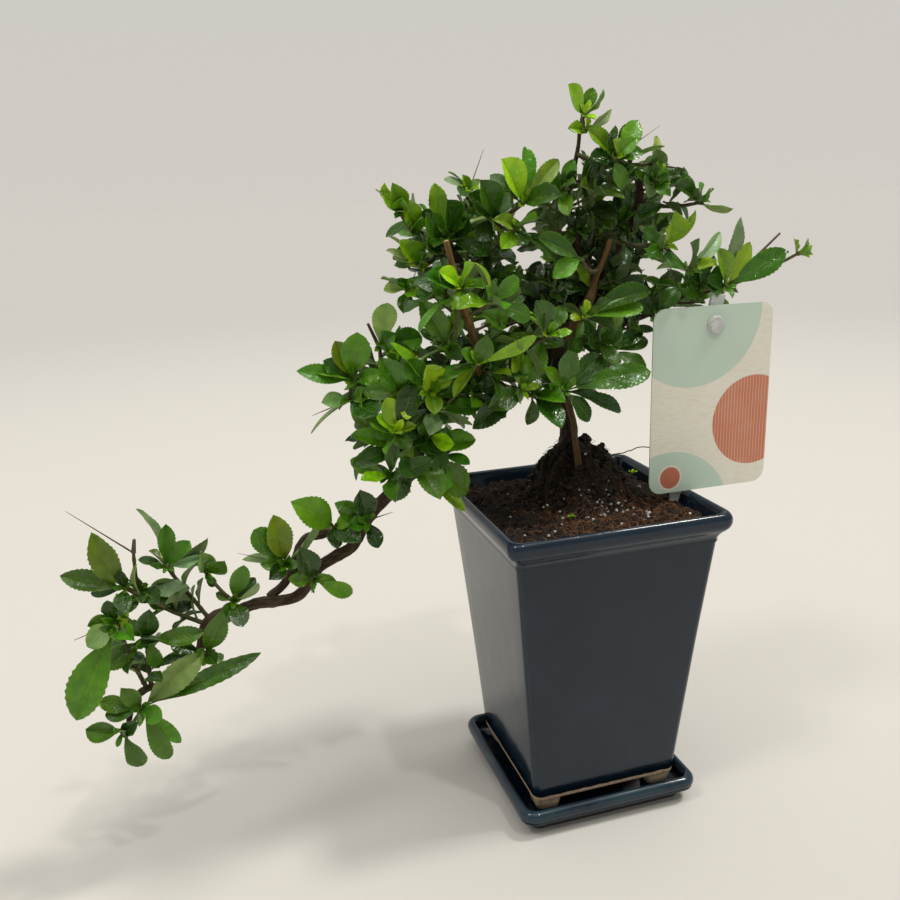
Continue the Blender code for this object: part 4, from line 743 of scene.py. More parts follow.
def glaze_finish():
    """Dark navy glaze with pin pores, darker near the pot's foot; the tint says where it is thin, bare clay,
    or painted shade.
    """
    made = Finish("navy_glaze", Specular_IOR_Level=0.42)
    cloud = made.noise(28, 4, 0.55)
    shade = made.ramp(cloud, (0.30, (0.0075, 0.0165, 0.030)), (0.55, (0.010, 0.021, 0.037)),
                      (0.80, (0.014, 0.027, 0.046)))
    pores = made.times(made.step(made.cells(210), 0.055, 0.03), made.step(made.noise(55, 2), 0.56, 0.62))
    shade = made.mix(pores, shade, (0.002, 0.003, 0.004))
    # the tint's third channel is painted shade, set on the saucer's inside under the pot
    thin, clay, painted_shade = made.tint_channels()
    thin = made.times(thin, made.step(made.noise(70, 4), 0.3, 0.65))
    shade = made.mix(thin, shade, (0.020, 0.048, 0.064))
    _, _, rise = made.split(made.position())
    foot = made.times_add(made.noise(60, 2), 0.006, rise)
    # darker towards the pot's foot, then joined by the painted shade
    dark_foot_and_painted_shade = made.times(made.step(foot, 0.0276, 0.0262), made.step(rise, 0.0180, 0.0186))
    dark_foot_and_painted_shade = made.math("MAXIMUM", dark_foot_and_painted_shade, painted_shade)
    shade = made.mix(made.times(dark_foot_and_painted_shade, 0.9), shade, (0.0020, 0.0065, 0.0125))
    ragged = made.times_add(made.noise(160, 3), 0.5, clay)
    bare = made.step(ragged, 0.62, 0.70)
    body = made.ramp(made.noise(500, 4), (0.3, (0.42, 0.30, 0.19)), (0.7, (0.62, 0.48, 0.33)))
    made.set("Base Color", made.mix(bare, shade, body))
    smear = made.step(made.noise(60, 3), 0.3, 0.7, 0.07, 0.16)
    made.set("Roughness", made.times_add(bare, 0.55, smear))
    height = made.times_add(pores, -0.6, made.noise(60, 3, 0.5))
    made.bump(height, 0.0005, 0.22)
    return made.material


def clay_finish():
    """Bare sandy clay."""
    made = Finish("pale_clay", Specular_IOR_Level=0.25)
    shade = made.ramp(made.noise(300, 5, 0.65), (0.3, (0.66, 0.49, 0.32)), (0.55, (0.86, 0.68, 0.48)),
                      (0.8, (0.92, 0.80, 0.63)))
    made.set("Base Color", shade)
    made.set("Roughness", made.step(made.noise(800), 0.3, 0.7, 0.75, 0.95))
    made.bump(made.noise(1400, 4, 0.6), 0.0003, 0.6)
    return made.material


def peat_finish():
    """Damp peat: near black with brown crumbs and reddish fibre."""
    made = Finish("peat", Specular_IOR_Level=0.3)
    crumb = made.noise(420, 8, 0.72)
    shade = made.ramp(crumb, (0.32, (0.004, 0.003, 0.0022)), (0.5, (0.018, 0.011, 0.007)),
                      (0.66, (0.050, 0.028, 0.016)), (0.8, (0.095, 0.055, 0.030)))
    made.set("Base Color", made.mix(1.0, shade, made.tint(), "MULTIPLY"))
    made.set("Roughness", made.step(made.noise(300, 3), 0.3, 0.7, 0.6, 0.95))
    made.bump(made.noise(900, 8, 0.7), 0.0012, 0.9)
    return made.material


def speck_finish(name, roughness):
    """Small loose things: their own tint, mottled."""
    made = Finish(name, Specular_IOR_Level=0.3)
    soiled = made.step(made.noise(1200, 3), 0.4, 0.7, 0.0, 0.5)
    made.set("Base Color", made.mix(soiled, made.tint(), (0.05, 0.035, 0.02)))
    made.set("Roughness", made.step(made.noise(600), 0.3, 0.7, roughness - 0.1, roughness + 0.1))
    made.bump(made.noise(1800, 3), 0.0002, 0.6)
    return made.material


# ---- leaves ----
LEAF_SLOT, TWIG_SLOT = 0, 1 # of a leafy piece's two materials
TWIG_SIDES = 8
LARGE_LEAF = 13.0           # mm; smaller leaves get a coarser sheet
BLADE_START = 0.10          # share of a leaf's length taken by its stalk
STALK_HALF = 0.40           # mm
STALK_TAPER = 0.7
BOW = 0.07                  # how far the midrib bows off its chord, as a share of the length
TEETH_DEPTH = 0.08
SWEEP = 0.16                # how far the blade's edge is swept forward, as a share of the half width
PUCKER = {"w": 0.40, "d": 0.20}             # mm, by tone
PLAIN_PUCKER = 0.12


def closed_sheet_faces(rows, columns):
    """Quads of a sheet with an upper and an under side, joined round its edge."""
    index = np.arange(rows * columns).reshape(rows, columns)
    upper = np.stack([index[:-1, :-1], index[1:, :-1], index[1:, 1:], index[:-1, 1:]], -1).reshape(-1, 4)
    under = upper[:, ::-1] + rows * columns
    rim = np.concatenate([index[0, :-1], index[:-1, -1], index[-1, :0:-1], index[:0:-1, 0]])
    after = np.roll(rim, -1)
    edge = np.stack([rim, after, after + rows * columns, rim + rows * columns], 1)
    return [np.concatenate([upper, under, edge])]


def leaf_sheet(rows, half_columns):
    """How far along and across each point of a leaf lies, and the sheet's faces."""
    half = np.sin(np.linspace(0, 1, half_columns + 1) * math.pi / 2)
    across = np.concatenate([-half[:0:-1], half])
    return np.linspace(0, 1, rows + 1)[:, None], across[None, :], closed_sheet_faces(rows + 1, len(across))


LARGE_SHEET = leaf_sheet(28, 4)
SMALL_SHEET = leaf_sheet(12, 2)


def leaf_width(along, rounded):
    """Half width of a toothed blade, as a share of the widest, with a round (1) or sharp (0) end."""
    inner = np.clip((along - BLADE_START) / (1 - BLADE_START), 0, 1)
    rise, fall = 1.0 + 0.25 * rounded, 1.0 - 0.40 * rounded
    peak = rise / (rise + fall)
    shape = inner ** rise * (1 - inner) ** fall / (peak ** rise * (1 - peak) ** fall)
    tooth = (np.arange(len(along)) % 2) * TEETH_DEPTH * np.clip((inner - 0.25) / 0.2, 0, 1)
    return shape * (1 - tooth)


def compass(facing):
    """The way a rosette faces, and up and right as seen by someone it faces."""
    face = Vector(facing).normalized()
    up = (Vector((0, 0, 1)) - face * face.z).normalized()
    return face, up, up.cross(face)


def pointing(facing, bearing, lean):
    """The way a leaf or a spike of the rosette points, from its angles in degrees."""
    face, up, right = compass(facing)
    turn, tilt = math.radians(bearing), math.radians(lean)
    return (up * math.cos(turn) + right * math.sin(turn)) * math.cos(tilt) + face * math.sin(tilt)


# The crown's middle and half sizes, for the painted shade inside it and the painted light outside.
CROWN_MIDDLE = (-8, 2, 300)
CROWN_HALF = (90, 48, 72)


def painted_light_factor(point):
    """Painted shade and light on a leaf's colour: darker well inside the crown and far down the branch,
    brighter outside.
    """
    depth = math.hypot(*((at - middle) / half for at, middle, half in zip(point, CROWN_MIDDLE, CROWN_HALF)))
    return float(np.interp(depth, (0.3, 0.9), (0.40, 1.45)) * np.interp(point.x, (-150, -110), (0.72, 1.0)))


def add_leaf(shape, centre, facing, bearing, lean, length, width, tone, roll=0):
    """One leaf with some thickness: a toothed blade, folded a little and puckered between its veins."""
    along = pointing(facing, bearing, lean)
    face = compass(facing)[0]
    normal = (face - along * face.dot(along)).normalized()
    angle = math.radians(roll)
    normal = normal * math.cos(angle) + along.cross(normal) * math.sin(angle)
    side = along.cross(normal)
    least, most = (0.05, -0.09, 0.5, -0.10, 0.15), (0.75, 0.09, 2.0, 0.16, 1.0)
    fold, bend, wave, droop, rounded = RANDOM.uniform(least, most)
    share, across, faces = LARGE_SHEET if length > LARGE_LEAF else SMALL_SHEET
    blade = leaf_width(share[:, 0], rounded)[:, None] * width / 2
    half = np.maximum(blade, STALK_HALF * (share < 0.9) * (1 - share * STALK_TAPER))
    out = half * across
    sweep = np.abs(across) ** 2 * half * SWEEP * (share > 0.2)
    arch = length * BOW * 4 * share * (1 - share) - length * droop * share ** 2
    pucker = PUCKER.get(tone, PLAIN_PUCKER)
    veins = np.cos(2 * math.pi * (share * VEINS - np.abs(across) * VEIN_SLANT))
    lift = (fold * np.abs(out) - 0.25 * fold * out ** 2 / max(width / 2, 1)
            + pucker * veins * np.abs(across) * (1 - across ** 2) * 1.6
            + 0.25 * wave * np.abs(across) ** 3 * np.sin(share * 9 * wave + bearing)
            - 0.15 * np.exp(-(across / 0.1) ** 2))
    thickness = 0.14 + 0.26 * (1 - across ** 2) + 0.5 * np.exp(-(across / 0.12) ** 2) * (1 - share) ** 0.8
    along, side, normal = (np.asarray(axis) for axis in (along, side, normal))
    upper = (np.asarray(centre) + along * (length * share + sweep * (1 - share))[..., None]
             + side * (out + length * bend * share ** 2)[..., None] + normal * (arch + lift)[..., None])
    under = upper - normal * thickness[..., None]
    points = np.concatenate([upper.reshape(-1, 3), under.reshape(-1, 3)])
    flat_share = np.broadcast_to(share, upper.shape[:2]).ravel()
    flat_across = np.broadcast_to(across, upper.shape[:2]).ravel()
    place = np.concatenate([np.stack([flat_share, flat_across, np.full(len(flat_share), below)], 1)
                            for below in (0.0, 1.0)])
    colour, roughness = TONES[tone]
    # painted shade and light: the colour is scaled by where the leaf sits in the crown
    colour = np.array(colour) * painted_light_factor(centre + pointing(facing, bearing, lean) * length * 0.6)
    colour *= RANDOM.uniform(0.65, 1.5) * RANDOM.uniform((0.8, 0.95, 0.6), (1.25, 1.05, 1.4))
    shape.add(points, faces, LEAF_SLOT, place, (*colour, roughness + RANDOM.uniform(-0.12, 0.06)))


def bud_corners():
    """Where the CAD's bud has its corners, about its centre."""
    bm = bmesh.new()
    bmesh.ops.create_icosphere(bm, subdivisions=1, radius=BUD_RADIUS)
    corners = [v.co.copy() for v in bm.verts]
    bm.free()
    return corners


BUD_CORNERS = bud_corners()


def corners_of(node):
    """The CAD node's corners, in millimetres, ready to be searched."""
    corners = frame["nodes"][node].data.vertices
    tree = kdtree.KDTree(len(corners))
    for k, corner in enumerate(corners):
        tree.insert(corner.co / MM, k)
    tree.balance()
    return tree


def shown(tree, point):
    """Whether the CAD node has a corner there."""
    return tree.find(point)[2] < FOUND_WITHIN


def rosette_centre(tree, centre, facing):
    """Where the CAD holds this rosette, which it may have moved the way the rosette faces."""
    steps = [Vector(centre) + Vector(facing).normalized() * step for step in range(ROSETTE_SHIFT)]
    return max(steps, key=lambda moved: sum(shown(tree, moved + corner) for corner in BUD_CORNERS))


def placed_leaf(tree, centre, facing, bearing, lean, length, width):
    """The leaf's bearing, lean, length and width as the CAD placed it, or None where it left the leaf out."""
    for size in LEAF_SIZES:
        for turn, tilt in LEAF_TURNS:
            tip = centre + pointing(facing, bearing + turn, lean + tilt) * length * size
            if shown(tree, tip):
                return bearing + turn, lean + tilt, length * size, width * size
    return None


def nearest_stem(point):
    """The nearest (x, y, z, radius) on any stem's middle line."""
    return min(STEM_POINTS, key=lambda row: sum((row[k] - point[k]) ** 2 for k in range(3)))


def add_twig(shape, start, end, thick, thin, age):
    """A twig from start to end with a slight sag, swollen at its joints; age 0 is green and 1 is brown."""
    start, end = Vector(start), Vector(end)
    length = (end - start).length
    sag = Vector((0, 0, -0.07 * length)) + Vector(RANDOM.uniform(-0.05, 0.05, 3)) * length
    steps = max(4, round(length / 1.5))
    rows = []
    for k in range(steps + 1):
        t = k / steps
        point = start.lerp(end, t) + sag * 4 * t * (1 - t)
        rows.append((*point, thick + (thin - thick) * t))
    spacing = RANDOM.uniform(5, 8)

    def knuckles(along, angle, centre):
        return 1 + 0.28 * math.exp(-(((along % spacing) - spacing / 2) / 0.6) ** 2)

    brown = np.array((*OLD_BARK, 1.0))
    green = np.array((*YOUNG_TWIG, 1.0))
    shape.add_tube(rows, TWIG_SIDES, TWIG_SLOT, brown * age + green * (1 - age), knuckles)


def add_spike(shape, start, end, radius, colour):
    """A thorn or a bare stub, tapering from its foot."""
    taper = 0.35 if radius > 0.55 else 0.75
    rows = [(*Vector(start).lerp(Vector(end), t), radius * (1 - taper * t)) for t in np.linspace(0, 1, 7)]
    shape.add_tube(rows, TWIG_SIDES, TWIG_SLOT, (*colour, 1.0))


SHOOT_TONES = "dgwdgdldgwdogdgd"
BARE_FOOT = 6               # of a leafy twig, without leaves


def add_leafy_twig(shape, start, end, thick, thin, age, spacing):
    """A twig with leaves spiralling up its outer part, each standing out and forward from it."""
    start, end = Vector(start), Vector(end)
    add_twig(shape, start, end, thick, thin, age)
    length = (end - start).length
    facing = end - start
    turn = RANDOM.uniform(0, 360)
    for k in range(int((length - BARE_FOOT) / spacing)):
        share = (BARE_FOOT + k * spacing) / length
        turn += GOLDEN_ANGLE
        size, lean, roll = RANDOM.uniform((12, 5, -35), (21, 55, 35))
        foot = start.lerp(end, share)
        if not blocked(foot + pointing(facing, turn, lean) * size):
            tone = SHOOT_TONES[int(RANDOM.integers(len(SHOOT_TONES)))]
            add_leaf(shape, foot, facing, turn, lean, size, size * RANDOM.uniform(0.30, 0.50), tone, roll)


BY_LEADER = ("front_centre", "stub_collar")     # their twigs stay bare, to leave the cut leader in sight
COLLAR = Vector((8, -1, 289))                   # where the leader carries its collar of leaves
TWIG_LEAF_SPACING = 4
NO_LEAVES = 99                                  # a spacing longer than any twig
TOP_TIP_SHARE = 0.82                            # of their CAD size, for the topmost leaves


def make_spray(name, rosettes):
    """A twig with its rosettes: each leaf where the CAD holds it, and small new leaves at each heart."""
    shape = Shape()
    tree = corners_of(name)
    share = TOP_TIP_SHARE if name == "top_tip" else 1.0
    last = None
    for listed, facing, leaves, *spikes in rosettes:
        found = rosette_centre(tree, listed, facing)
        centre = COLLAR if name == "stub_collar" else found
        if last is None:
            spacing = NO_LEAVES if name in BY_LEADER else TWIG_LEAF_SPACING
            add_leafy_twig(shape, nearest_stem(centre)[:3], centre, 1.2, 0.9, 0.5, spacing)
        else:
            add_twig(shape, last, centre, 1.0, 0.8, 0.35)
        last = centre
        for bearing, lean, length, diameter in (spikes[0] if spikes else []):
            end = centre + pointing(facing, bearing, lean) * length
            add_spike(shape, centre, end, diameter / 2, THORN)
        tones = []
        for bearing, lean, length, width, tone, *roll in leaves:
            tones.append(tone)
            place = placed_leaf(tree, found, facing, bearing, lean, length, width)
            if place:
                turn, tilt, long, wide = place
                add_leaf(shape, centre, facing, turn, tilt, long * share, wide * share, tone, *roll)
        if tones and name not in BY_LEADER:
            add_heart(shape, centre, facing, tones)
    return show(shape.build(f"{name}_spray", [LEAF, TWIG]), slot_of(name), name)


def add_heart(shape, centre, facing, tones):
    """The bud of a rosette and the small new leaves round it."""
    tip = centre + Vector(facing).normalized() * 2.6
    rows = [(*centre.lerp(tip, t), radius) for t, radius in ((0, 1.0), (0.3, 1.35), (0.7, 1.0), (1, 0.3))]
    shape.add_tube(rows, TWIG_SIDES, TWIG_SLOT, (*YOUNG_TWIG, 1.0))
    tone = "l" if "l" in tones else "g"
    start = RANDOM.uniform(0, 360)
    for k in range(4):
        length = RANDOM.uniform(5.5, 10.5)
        add_leaf(shape, centre, facing, start + k * GOLDEN_ANGLE, RANDOM.uniform(38, 72), length,
                 length * RANDOM.uniform(0.36, 0.46), tone)


# Extra leafy shoots, which the CAD leaves out: the shares of the stem's length where they start and end.
LEAFY_STEMS = {
    "trunk": (0.60, 0.86), "cascade_stem": (0.04, 0.34), "left_limb": (0.15, 1), "right_limb": (0.1, 1),
    "low_right_limb": (0.2, 0.62), "top_limb": (0.25, 0.72), "front_limb": (0.1, 1), "back_limb": (0.2, 1),
    "back_left_limb": (0.1, 1), "lower_left_limb": (0.2, 1),
}
SHOOT_SPACING = 4.6         # along a stem
SHOOT_LEAF_SPACING = 5.0    # along a shoot
SHOOT_LEAVES = 6            # in the rosette at its end


def make_shoots(name, path, first, last):
    """Short leafy side shoots along a stem, a golden angle apart, each ending in a rosette."""
    shape = Shape()
    stations = path[int(first * (len(path) - 1)):int(last * (len(path) - 1)) + 1]
    steps = np.linalg.norm(np.diff(stations[:, :3], axis=0), axis=1)
    count = max(1, round(steps.sum() / SHOOT_SPACING))
    turn = RANDOM.uniform(0, 360)
    for k in range(count):
        row = stations[round((k + 0.5) / count * (len(stations) - 1))]
        start = Vector(row[:3])
        turn += GOLDEN_ANGLE
        angle = math.radians(turn)
        outward = Vector((math.cos(angle), math.sin(angle), RANDOM.uniform(-0.2, 0.9))).normalized()
        end = start + outward * (row[3] + RANDOM.uniform(6, 20))
        if blocked(end):
            continue
        add_leafy_twig(shape, start, end, 0.8, 0.55, 0.4, SHOOT_LEAF_SPACING)
        size = RANDOM.uniform(15, 24)
        facing = outward + Vector((0, -0.2, 0.6))
        leaves = ruled_leaves(SHOOT_LEAVES, size, size * RANDOM.uniform(0.36, 0.52), RANDOM.uniform(0, 360))
        for bearing, lean, length, width, _ in leaves:
            lean += RANDOM.uniform(-10, 15)
            tone = SHOOT_TONES[int(RANDOM.integers(len(SHOOT_TONES)))]
            if not blocked(end + pointing(facing, bearing, lean) * length):
                add_leaf(shape, end, facing, bearing, lean, length, width, tone, RANDOM.uniform(-30, 30))
        add_heart(shape, end, facing, "g")
    return show(shape.build(f"{name}_shoots", [LEAF, TWIG]), "leaves")


# What extra leaves leave in sight, and the room that they leave round it.
CARD_ROOM, CARD_ROOM_ABOVE, CARD_ROOM_BEHIND = 6, 4, -8
STAKE_ROOM = 9
FOOT_LEFT, FOOT_RIGHT, CROWN_UNDERSIDE = -35, 62, 238       # the open space round the trunk's foot
LEADER_X, LEADER_Z = 4, 278                                 # a point of the cut leader
LEADER_SLANT, LEADER_SIGHT = 0.39, 0.49                     # its x for each z, and the view's x for each y
LEADER_ROOM, LEADER_FROM, LEADER_TO = 9, 270, 324
SHOOT_X, SHOOT_Y, SHOOT_Z = -71.5, -28, 284                 # a point of the pruned shoot
SHOOT_SLANT = -0.30
SHOOT_ROOM, SHOOT_FROM, SHOOT_TO = 5, 255, 325


def blocked(point):
    """Whether extra leaves there would cover the card, its stake, the trunk's foot, or either cut stem."""
    x, y, z = point
    by_card = (CARD_LEFT - CARD_ROOM < x < CARD_RIGHT + CARD_ROOM and z < CARD_TOP + CARD_ROOM_ABOVE
               and y < CARD_ROOM_BEHIND)
    by_stake = all(low / MM - STAKE_ROOM < at < high / MM + STAKE_ROOM
                   for at, low, high in zip(point, *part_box("card_stake")))
    by_foot = FOOT_LEFT < x < FOOT_RIGHT and z < CROWN_UNDERSIDE
    aside = x - LEADER_SIGHT * y - (LEADER_X + LEADER_SLANT * (z - LEADER_Z))
    by_leader = abs(aside) < LEADER_ROOM and y < 0 and LEADER_FROM < z < LEADER_TO
    beside = x - SHOOT_X - SHOOT_SLANT * (z - SHOOT_Z)
    by_shoot = abs(beside) < SHOOT_ROOM and y < SHOOT_Y and SHOOT_FROM < z < SHOOT_TO
    return by_card or by_stake or by_foot or by_leader or by_shoot


def slot_of(node):
    """The record's material slot of a CAD node."""
    return next(part["material_slot"] for part in frame["record"]["subparts"] if part["node"] == node)


# ---- stems ----
YOUNG_FROM, YOUNG_OVER = 252, 22            # the height where bark starts to look young, and its fade


def bark_age(name, z):
    """1 on old dark bark, less on the young reddish wood of the front stem and the cut leader."""
    if name == "second_stem":
        return 0.5
    if name in ("trunk", "front_limb"):
        return float(np.clip(1 - (z - YOUNG_FROM) / YOUNG_OVER, 0.08, 1))
    return 0.85


def make_stem(name, path):
    """A stem with furrowed bark and swollen rings where leaves once stood."""
    phase = RANDOM.uniform(0, 40)
    spacing = RANDOM.uniform(11, 15)

    def relief(along, angle, centre):
        where = Vector((math.cos(angle) * 1.4, math.sin(angle) * 1.4, along * 0.07 + phase))
        fine = Vector(centre) * 0.55
        ring = math.exp(-(((along + phase) % spacing - spacing / 2) / 1.3) ** 2)
        return 1 + 0.13 * noise.noise(where * 1.6) + 0.06 * noise.noise(fine) + 0.12 * ring

    shape = Shape()
    points, faces, places = tube(path, 20, relief)
    ages = [(bark_age(name, z), 0, 0, 1) for z in points[:, 2]]
    shape.add(points, faces, 0, places, ages)
    return show(shape.build(f"{name}_bark", [BARK], 180), slot_of(name), name)


# The middle line of a pruned shoot at the crown's left, from its foot to its cut end.
CUT_SHOOT = [
    (-58, -6, 240, 2.0), (-62, -20, 262, 1.9), (-67, -28, 272, 1.7), (-71.5, -31, 284, 1.6),
    (-75, -32, 297, 1.5), (-78, -32, 309, 1.4), (-80.5, -32, 319, 1.5),
]


def add_scar(shape, path):
    """The pale wood of a pruned end."""
    end, radius = Vector(path[-1][:3]), path[-1][3]
    outward = (end - Vector(path[-3][:3])).normalized()
    add_spike(shape, end - outward * 0.2, end + outward * 0.5, radius * 0.96, CUT_WOOD)


def make_cut_shoot():
    """The pruned shoot, with its pale cut end and the leader's."""
    shape = Shape()
    path = smooth_path(CUT_SHOOT, STEM_STEP)
    shape.add_tube(path, 12, 0, (0.05, 0, 0, 1))
    add_scar(shape, path)
    add_scar(shape, STEM_PATHS["trunk"])
    return show(shape.build("cut_shoot", [BARK, TWIG], 50), "bark")


# ---- square rounded rings: pot and saucer ----
CORNER_STEPS, SIDE_STEPS = 12, 8


def square_ring(half, corner):
    """Points (x, y) of a rounded square, with a few on each side so that its walls can bow."""
    ring = []
    middle = half - corner
    for quarter in range(4):
        turn = math.radians(90 * quarter)
        c, s = math.cos(turn), math.sin(turn)
        for k in range(CORNER_STEPS + 1):
            angle = math.radians(90 * k / CORNER_STEPS)
            x = middle + corner * math.cos(angle)
            y = middle + corner * math.sin(angle)
            ring.append((x * c - y * s, x * s + y * c))
        for k in range(1, SIDE_STEPS):
            along = middle - 2 * middle * k / SIDE_STEPS
            ring.append((along * c - half * s, along * s + half * c))
    return np.array(ring)


STRAIGHT_FROM = 20          # a longer stretch of a profile is straight, such as the pot's wall


def refined(profile, step):
    """The profile's rows joined by a smooth curve, closely enough to look turned."""
    knots = with_run_outs(profile)
    rows = []
    for i in range(1, len(knots) - 2):
        start, end = knots[i], knots[i + 1]
        reach = math.hypot(end[0] - start[0], end[2] - start[2])
        count = max(2, min(14, round(reach / step)))
        for t in np.arange(count) / count:
            rows.append(start + (end - start) * t if reach > STRAIGHT_FROM else on_curve(knots, i, t))
    return [*rows, knots[-2]]


def loft(shape, rows, slot, warp, clay_below=-10.0):
    """A closed body through rounded square rings (half, corner, z, glaze), capped.

    warp moves its points, and it is bare clay below clay_below. The glaze is thin above 0, and below 0 it is
    darkened as painted shade.
    """
    points, colours = [], []
    for half, corner, z, thin in rows:
        clay = float(np.clip((clay_below - z) / 1.2 + 0.5, 0, 1))
        ring = square_ring(half, corner)
        points += [warp(x, y, z) for x, y in ring]
        # a glaze value below 0 goes to the third channel as painted shade
        colours += [(max(0.0, min(1.0, thin)), clay, max(0.0, min(1.0, -thin)), 1)] * len(ring)
    size = len(ring)
    points += [tuple(np.mean(points[:size], axis=0)), tuple(np.mean(points[-size:], axis=0))]
    colours += [colours[0], colours[-1]]
    shape.add(points, ring_faces(size, len(rows)), slot, colour=colours)


# (half width, corner radius, height, thinness of the glaze, or painted shade where below 0), from the
# underside round to the floor.
POT_PROFILE = [
    (41.6, 4.0, 18.6, 0.0), (42.8, 4.4, 18.7, 0.0), (43.35, 4.5, 19.8, 0.0), (47.8, 4.5, 68.0, 0.0),
    (52.1, 4.5, 115.0, 0.0), (56.2, 4.5, 159.4, 0.0), (56.75, 4.6, 160.4, 0.2), (56.5, 4.6, 161.3, 0.1),
    (57.1, 4.7, 163.2, 0.0), (58.8, 5.0, 165.8, 0.0), (60.9, 5.6, 167.9, 0.0), (62.1, 6.0, 170.0, 0.05),
    (62.5, 6.2, 172.6, 0.1), (62.1, 6.2, 175.0, 0.15), (60.6, 6.0, 176.9, 0.3), (58.7, 5.4, 176.4, 0.1),
    (57.1, 4.8, 174.2, 0.0), (56.0, 4.4, 170.0, 0.0), (52.3, 3.2, 158.0, 0.0), (47.1, 3.0, 120.0, 0.0),
    (38.6, 3.0, 28.2, 0.0),
]
SAUCER_PROFILE = [
    (44.2, 5.0, 0.0, 0.0), (45.2, 5.0, 0.3, 0.0), (45.8, 5.2, 1.2, 0.0), (46.9, 5.5, 3.4, 0.0),
    (49.2, 6.5, 6.3, 0.0), (51.7, 7.6, 7.9, 0.1), (52.5, 8.0, 8.8, 0.2), (52.2, 7.9, 9.7, 0.0),
    (52.9, 8.3, 10.5, 0.3), (53.2, 8.5, 12.0, 0.6), (52.9, 8.3, 13.9, 0.9), (51.9, 7.8, 15.3, 1.0),
    # from (48.9, 6.0, 15.2) inward, values below 0 put painted shade on the saucer's inside
    (50.4, 7.0, 16.0, 0.5), (48.9, 6.0, 15.2, -0.3), (47.9, 5.5, 12.6, -1.0), (47.3, 5.2, 9.0, -1.0),
    (46.0, 4.8, 7.7, -1.0),
]
POT_STEP, SAUCER_STEP = 1.6, 0.9            # between the rings of their bodies
POT_CLAY_BELOW, SAUCER_CLAY_BELOW = 18.4, 0.6
FOOT_CENTRE = 34.0
FOOT_TOP, FOOT_SOLE = 8.0, 6.3              # half widths
FOOT_PROFILE = [
    (FOOT_SOLE - 0.6, 2.0, 8.0, 0), (FOOT_SOLE, 2.4, 8.5, 0), (FOOT_TOP - 0.5, 2.8, 13.5, 0),
    (FOOT_TOP, 3.0, 17.0, 0), (FOOT_TOP + 0.4, 3.2, 19.5, 0),
]
GLAZE_SLOT, CLAY_SLOT = 0, 1


def pot_warp(x, y, z):
    """The slight bow and unevenness of a slip-cast wall."""
    bow = 0.35 * math.sin(math.pi * min(max((z - 19) / 141, 0), 1))
    away = 1 - bow / 50 + 0.002 * noise.noise(Vector((x, y, z)) * 0.02)
    return x * away, y * away, z


def make_pot():
    """The hollow glazed pot on its four clay feet."""
    shape = Shape()
    loft(shape, refined(POT_PROFILE, POT_STEP), GLAZE_SLOT, pot_warp, POT_CLAY_BELOW)
    for x_side in (-1, 1):
        for y_side in (-1, 1):
            def at_corner(x, y, z, x_side=x_side, y_side=y_side):
                lump = 0.35 * noise.noise(Vector((x, y, z)) * 0.3)
                return x + x_side * FOOT_CENTRE + lump, y + y_side * FOOT_CENTRE + lump, z

            loft(shape, FOOT_PROFILE, CLAY_SLOT, at_corner)
    return show(shape.build("glazed_pot", [GLAZE, CLAY], 50), "glaze", "pot")


def make_saucer():
    """The glazed saucer, with a bare sole."""
    shape = Shape()
    loft(shape, refined(SAUCER_PROFILE, SAUCER_STEP), GLAZE_SLOT, pot_warp, SAUCER_CLAY_BELOW)
    return show(shape.build("glazed_saucer", [GLAZE], 50), "glaze", "saucer")


# ---- soil ----
SOIL_LEVEL = 171.0
SOIL_HALF = 55.0
SOIL_DEPTH = 5              # of the sheet that stands for the soil
SOIL_CELLS = 200            # along a side
LOOSE_HALF = 51.5           # loose things start this near the pot's middle
CREEP_HALF = 52.0           # and fibres don't reach past this
MOUND_X, MOUND_Y, MOUND_HEIGHT, MOUND_RADIUS = 7.0, 13.0, 28.0, 24.0
MOUND_CLODS_WITHIN = 30


def off_mound(x, y):
    """How far a place is from the middle of the root ball, which is a little longer from front to back."""
    return math.hypot(x - MOUND_X, (y - MOUND_Y) * 0.85)


def soil_height(x, y):
    """The lie of the soil, without its crumbs."""
    mound = MOUND_HEIGHT * math.exp(-(off_mound(x, y) / MOUND_RADIUS) ** 4)
    lumps = 0.9 * math.sin(0.31 * x + 1.0) * math.cos(0.27 * y) + 0.6 * math.sin(0.7 * x - 0.5 * y)
    return SOIL_LEVEL + mound + lumps


def rough_height(x, y):
    """The soil's surface with clods and crumbs, a dip along the rim and a lumpy root ball."""
    def bumps(height, layer, scale):
        return height * noise.noise(Vector((x, y, layer)) * scale)

    ball = math.exp(-(off_mound(x, y) / MOUND_CLODS_WITHIN) ** 4)
    clods = bumps(1.6 + 6.5 * ball, 0, 0.13) + bumps(1.2, 9, 0.28)
    crumbs = bumps(0.9, 3, 0.7) + bumps(0.5, 5, 1.7)
    rim = max(0.0, (max(abs(x), abs(y)) - 47) / 7)
    return soil_height(x, y) + clods + crumbs - rim


def make_soil():
    """A fine sheet of peat over the pot's opening, with its root ball."""
    shape = Shape()
    line = np.linspace(-SOIL_HALF, SOIL_HALF, SOIL_CELLS + 1)
    points = []
    for y in line:
        for x in line:
            inward = 1 - 0.03 * (abs(x) / SOIL_HALF) ** 6 * (abs(y) / SOIL_HALF) ** 6
            points.append((x * inward, y * inward, rough_height(x, y)))
    upper = np.array(points)
    under = upper.copy()
    under[:, 2] = SOIL_LEVEL - SOIL_DEPTH
    shape.add(np.concatenate([upper, under]), closed_sheet_faces(len(line), len(line)))
    return show(shape.build("peat_soil", [PEAT], 180), "peat", "soil")


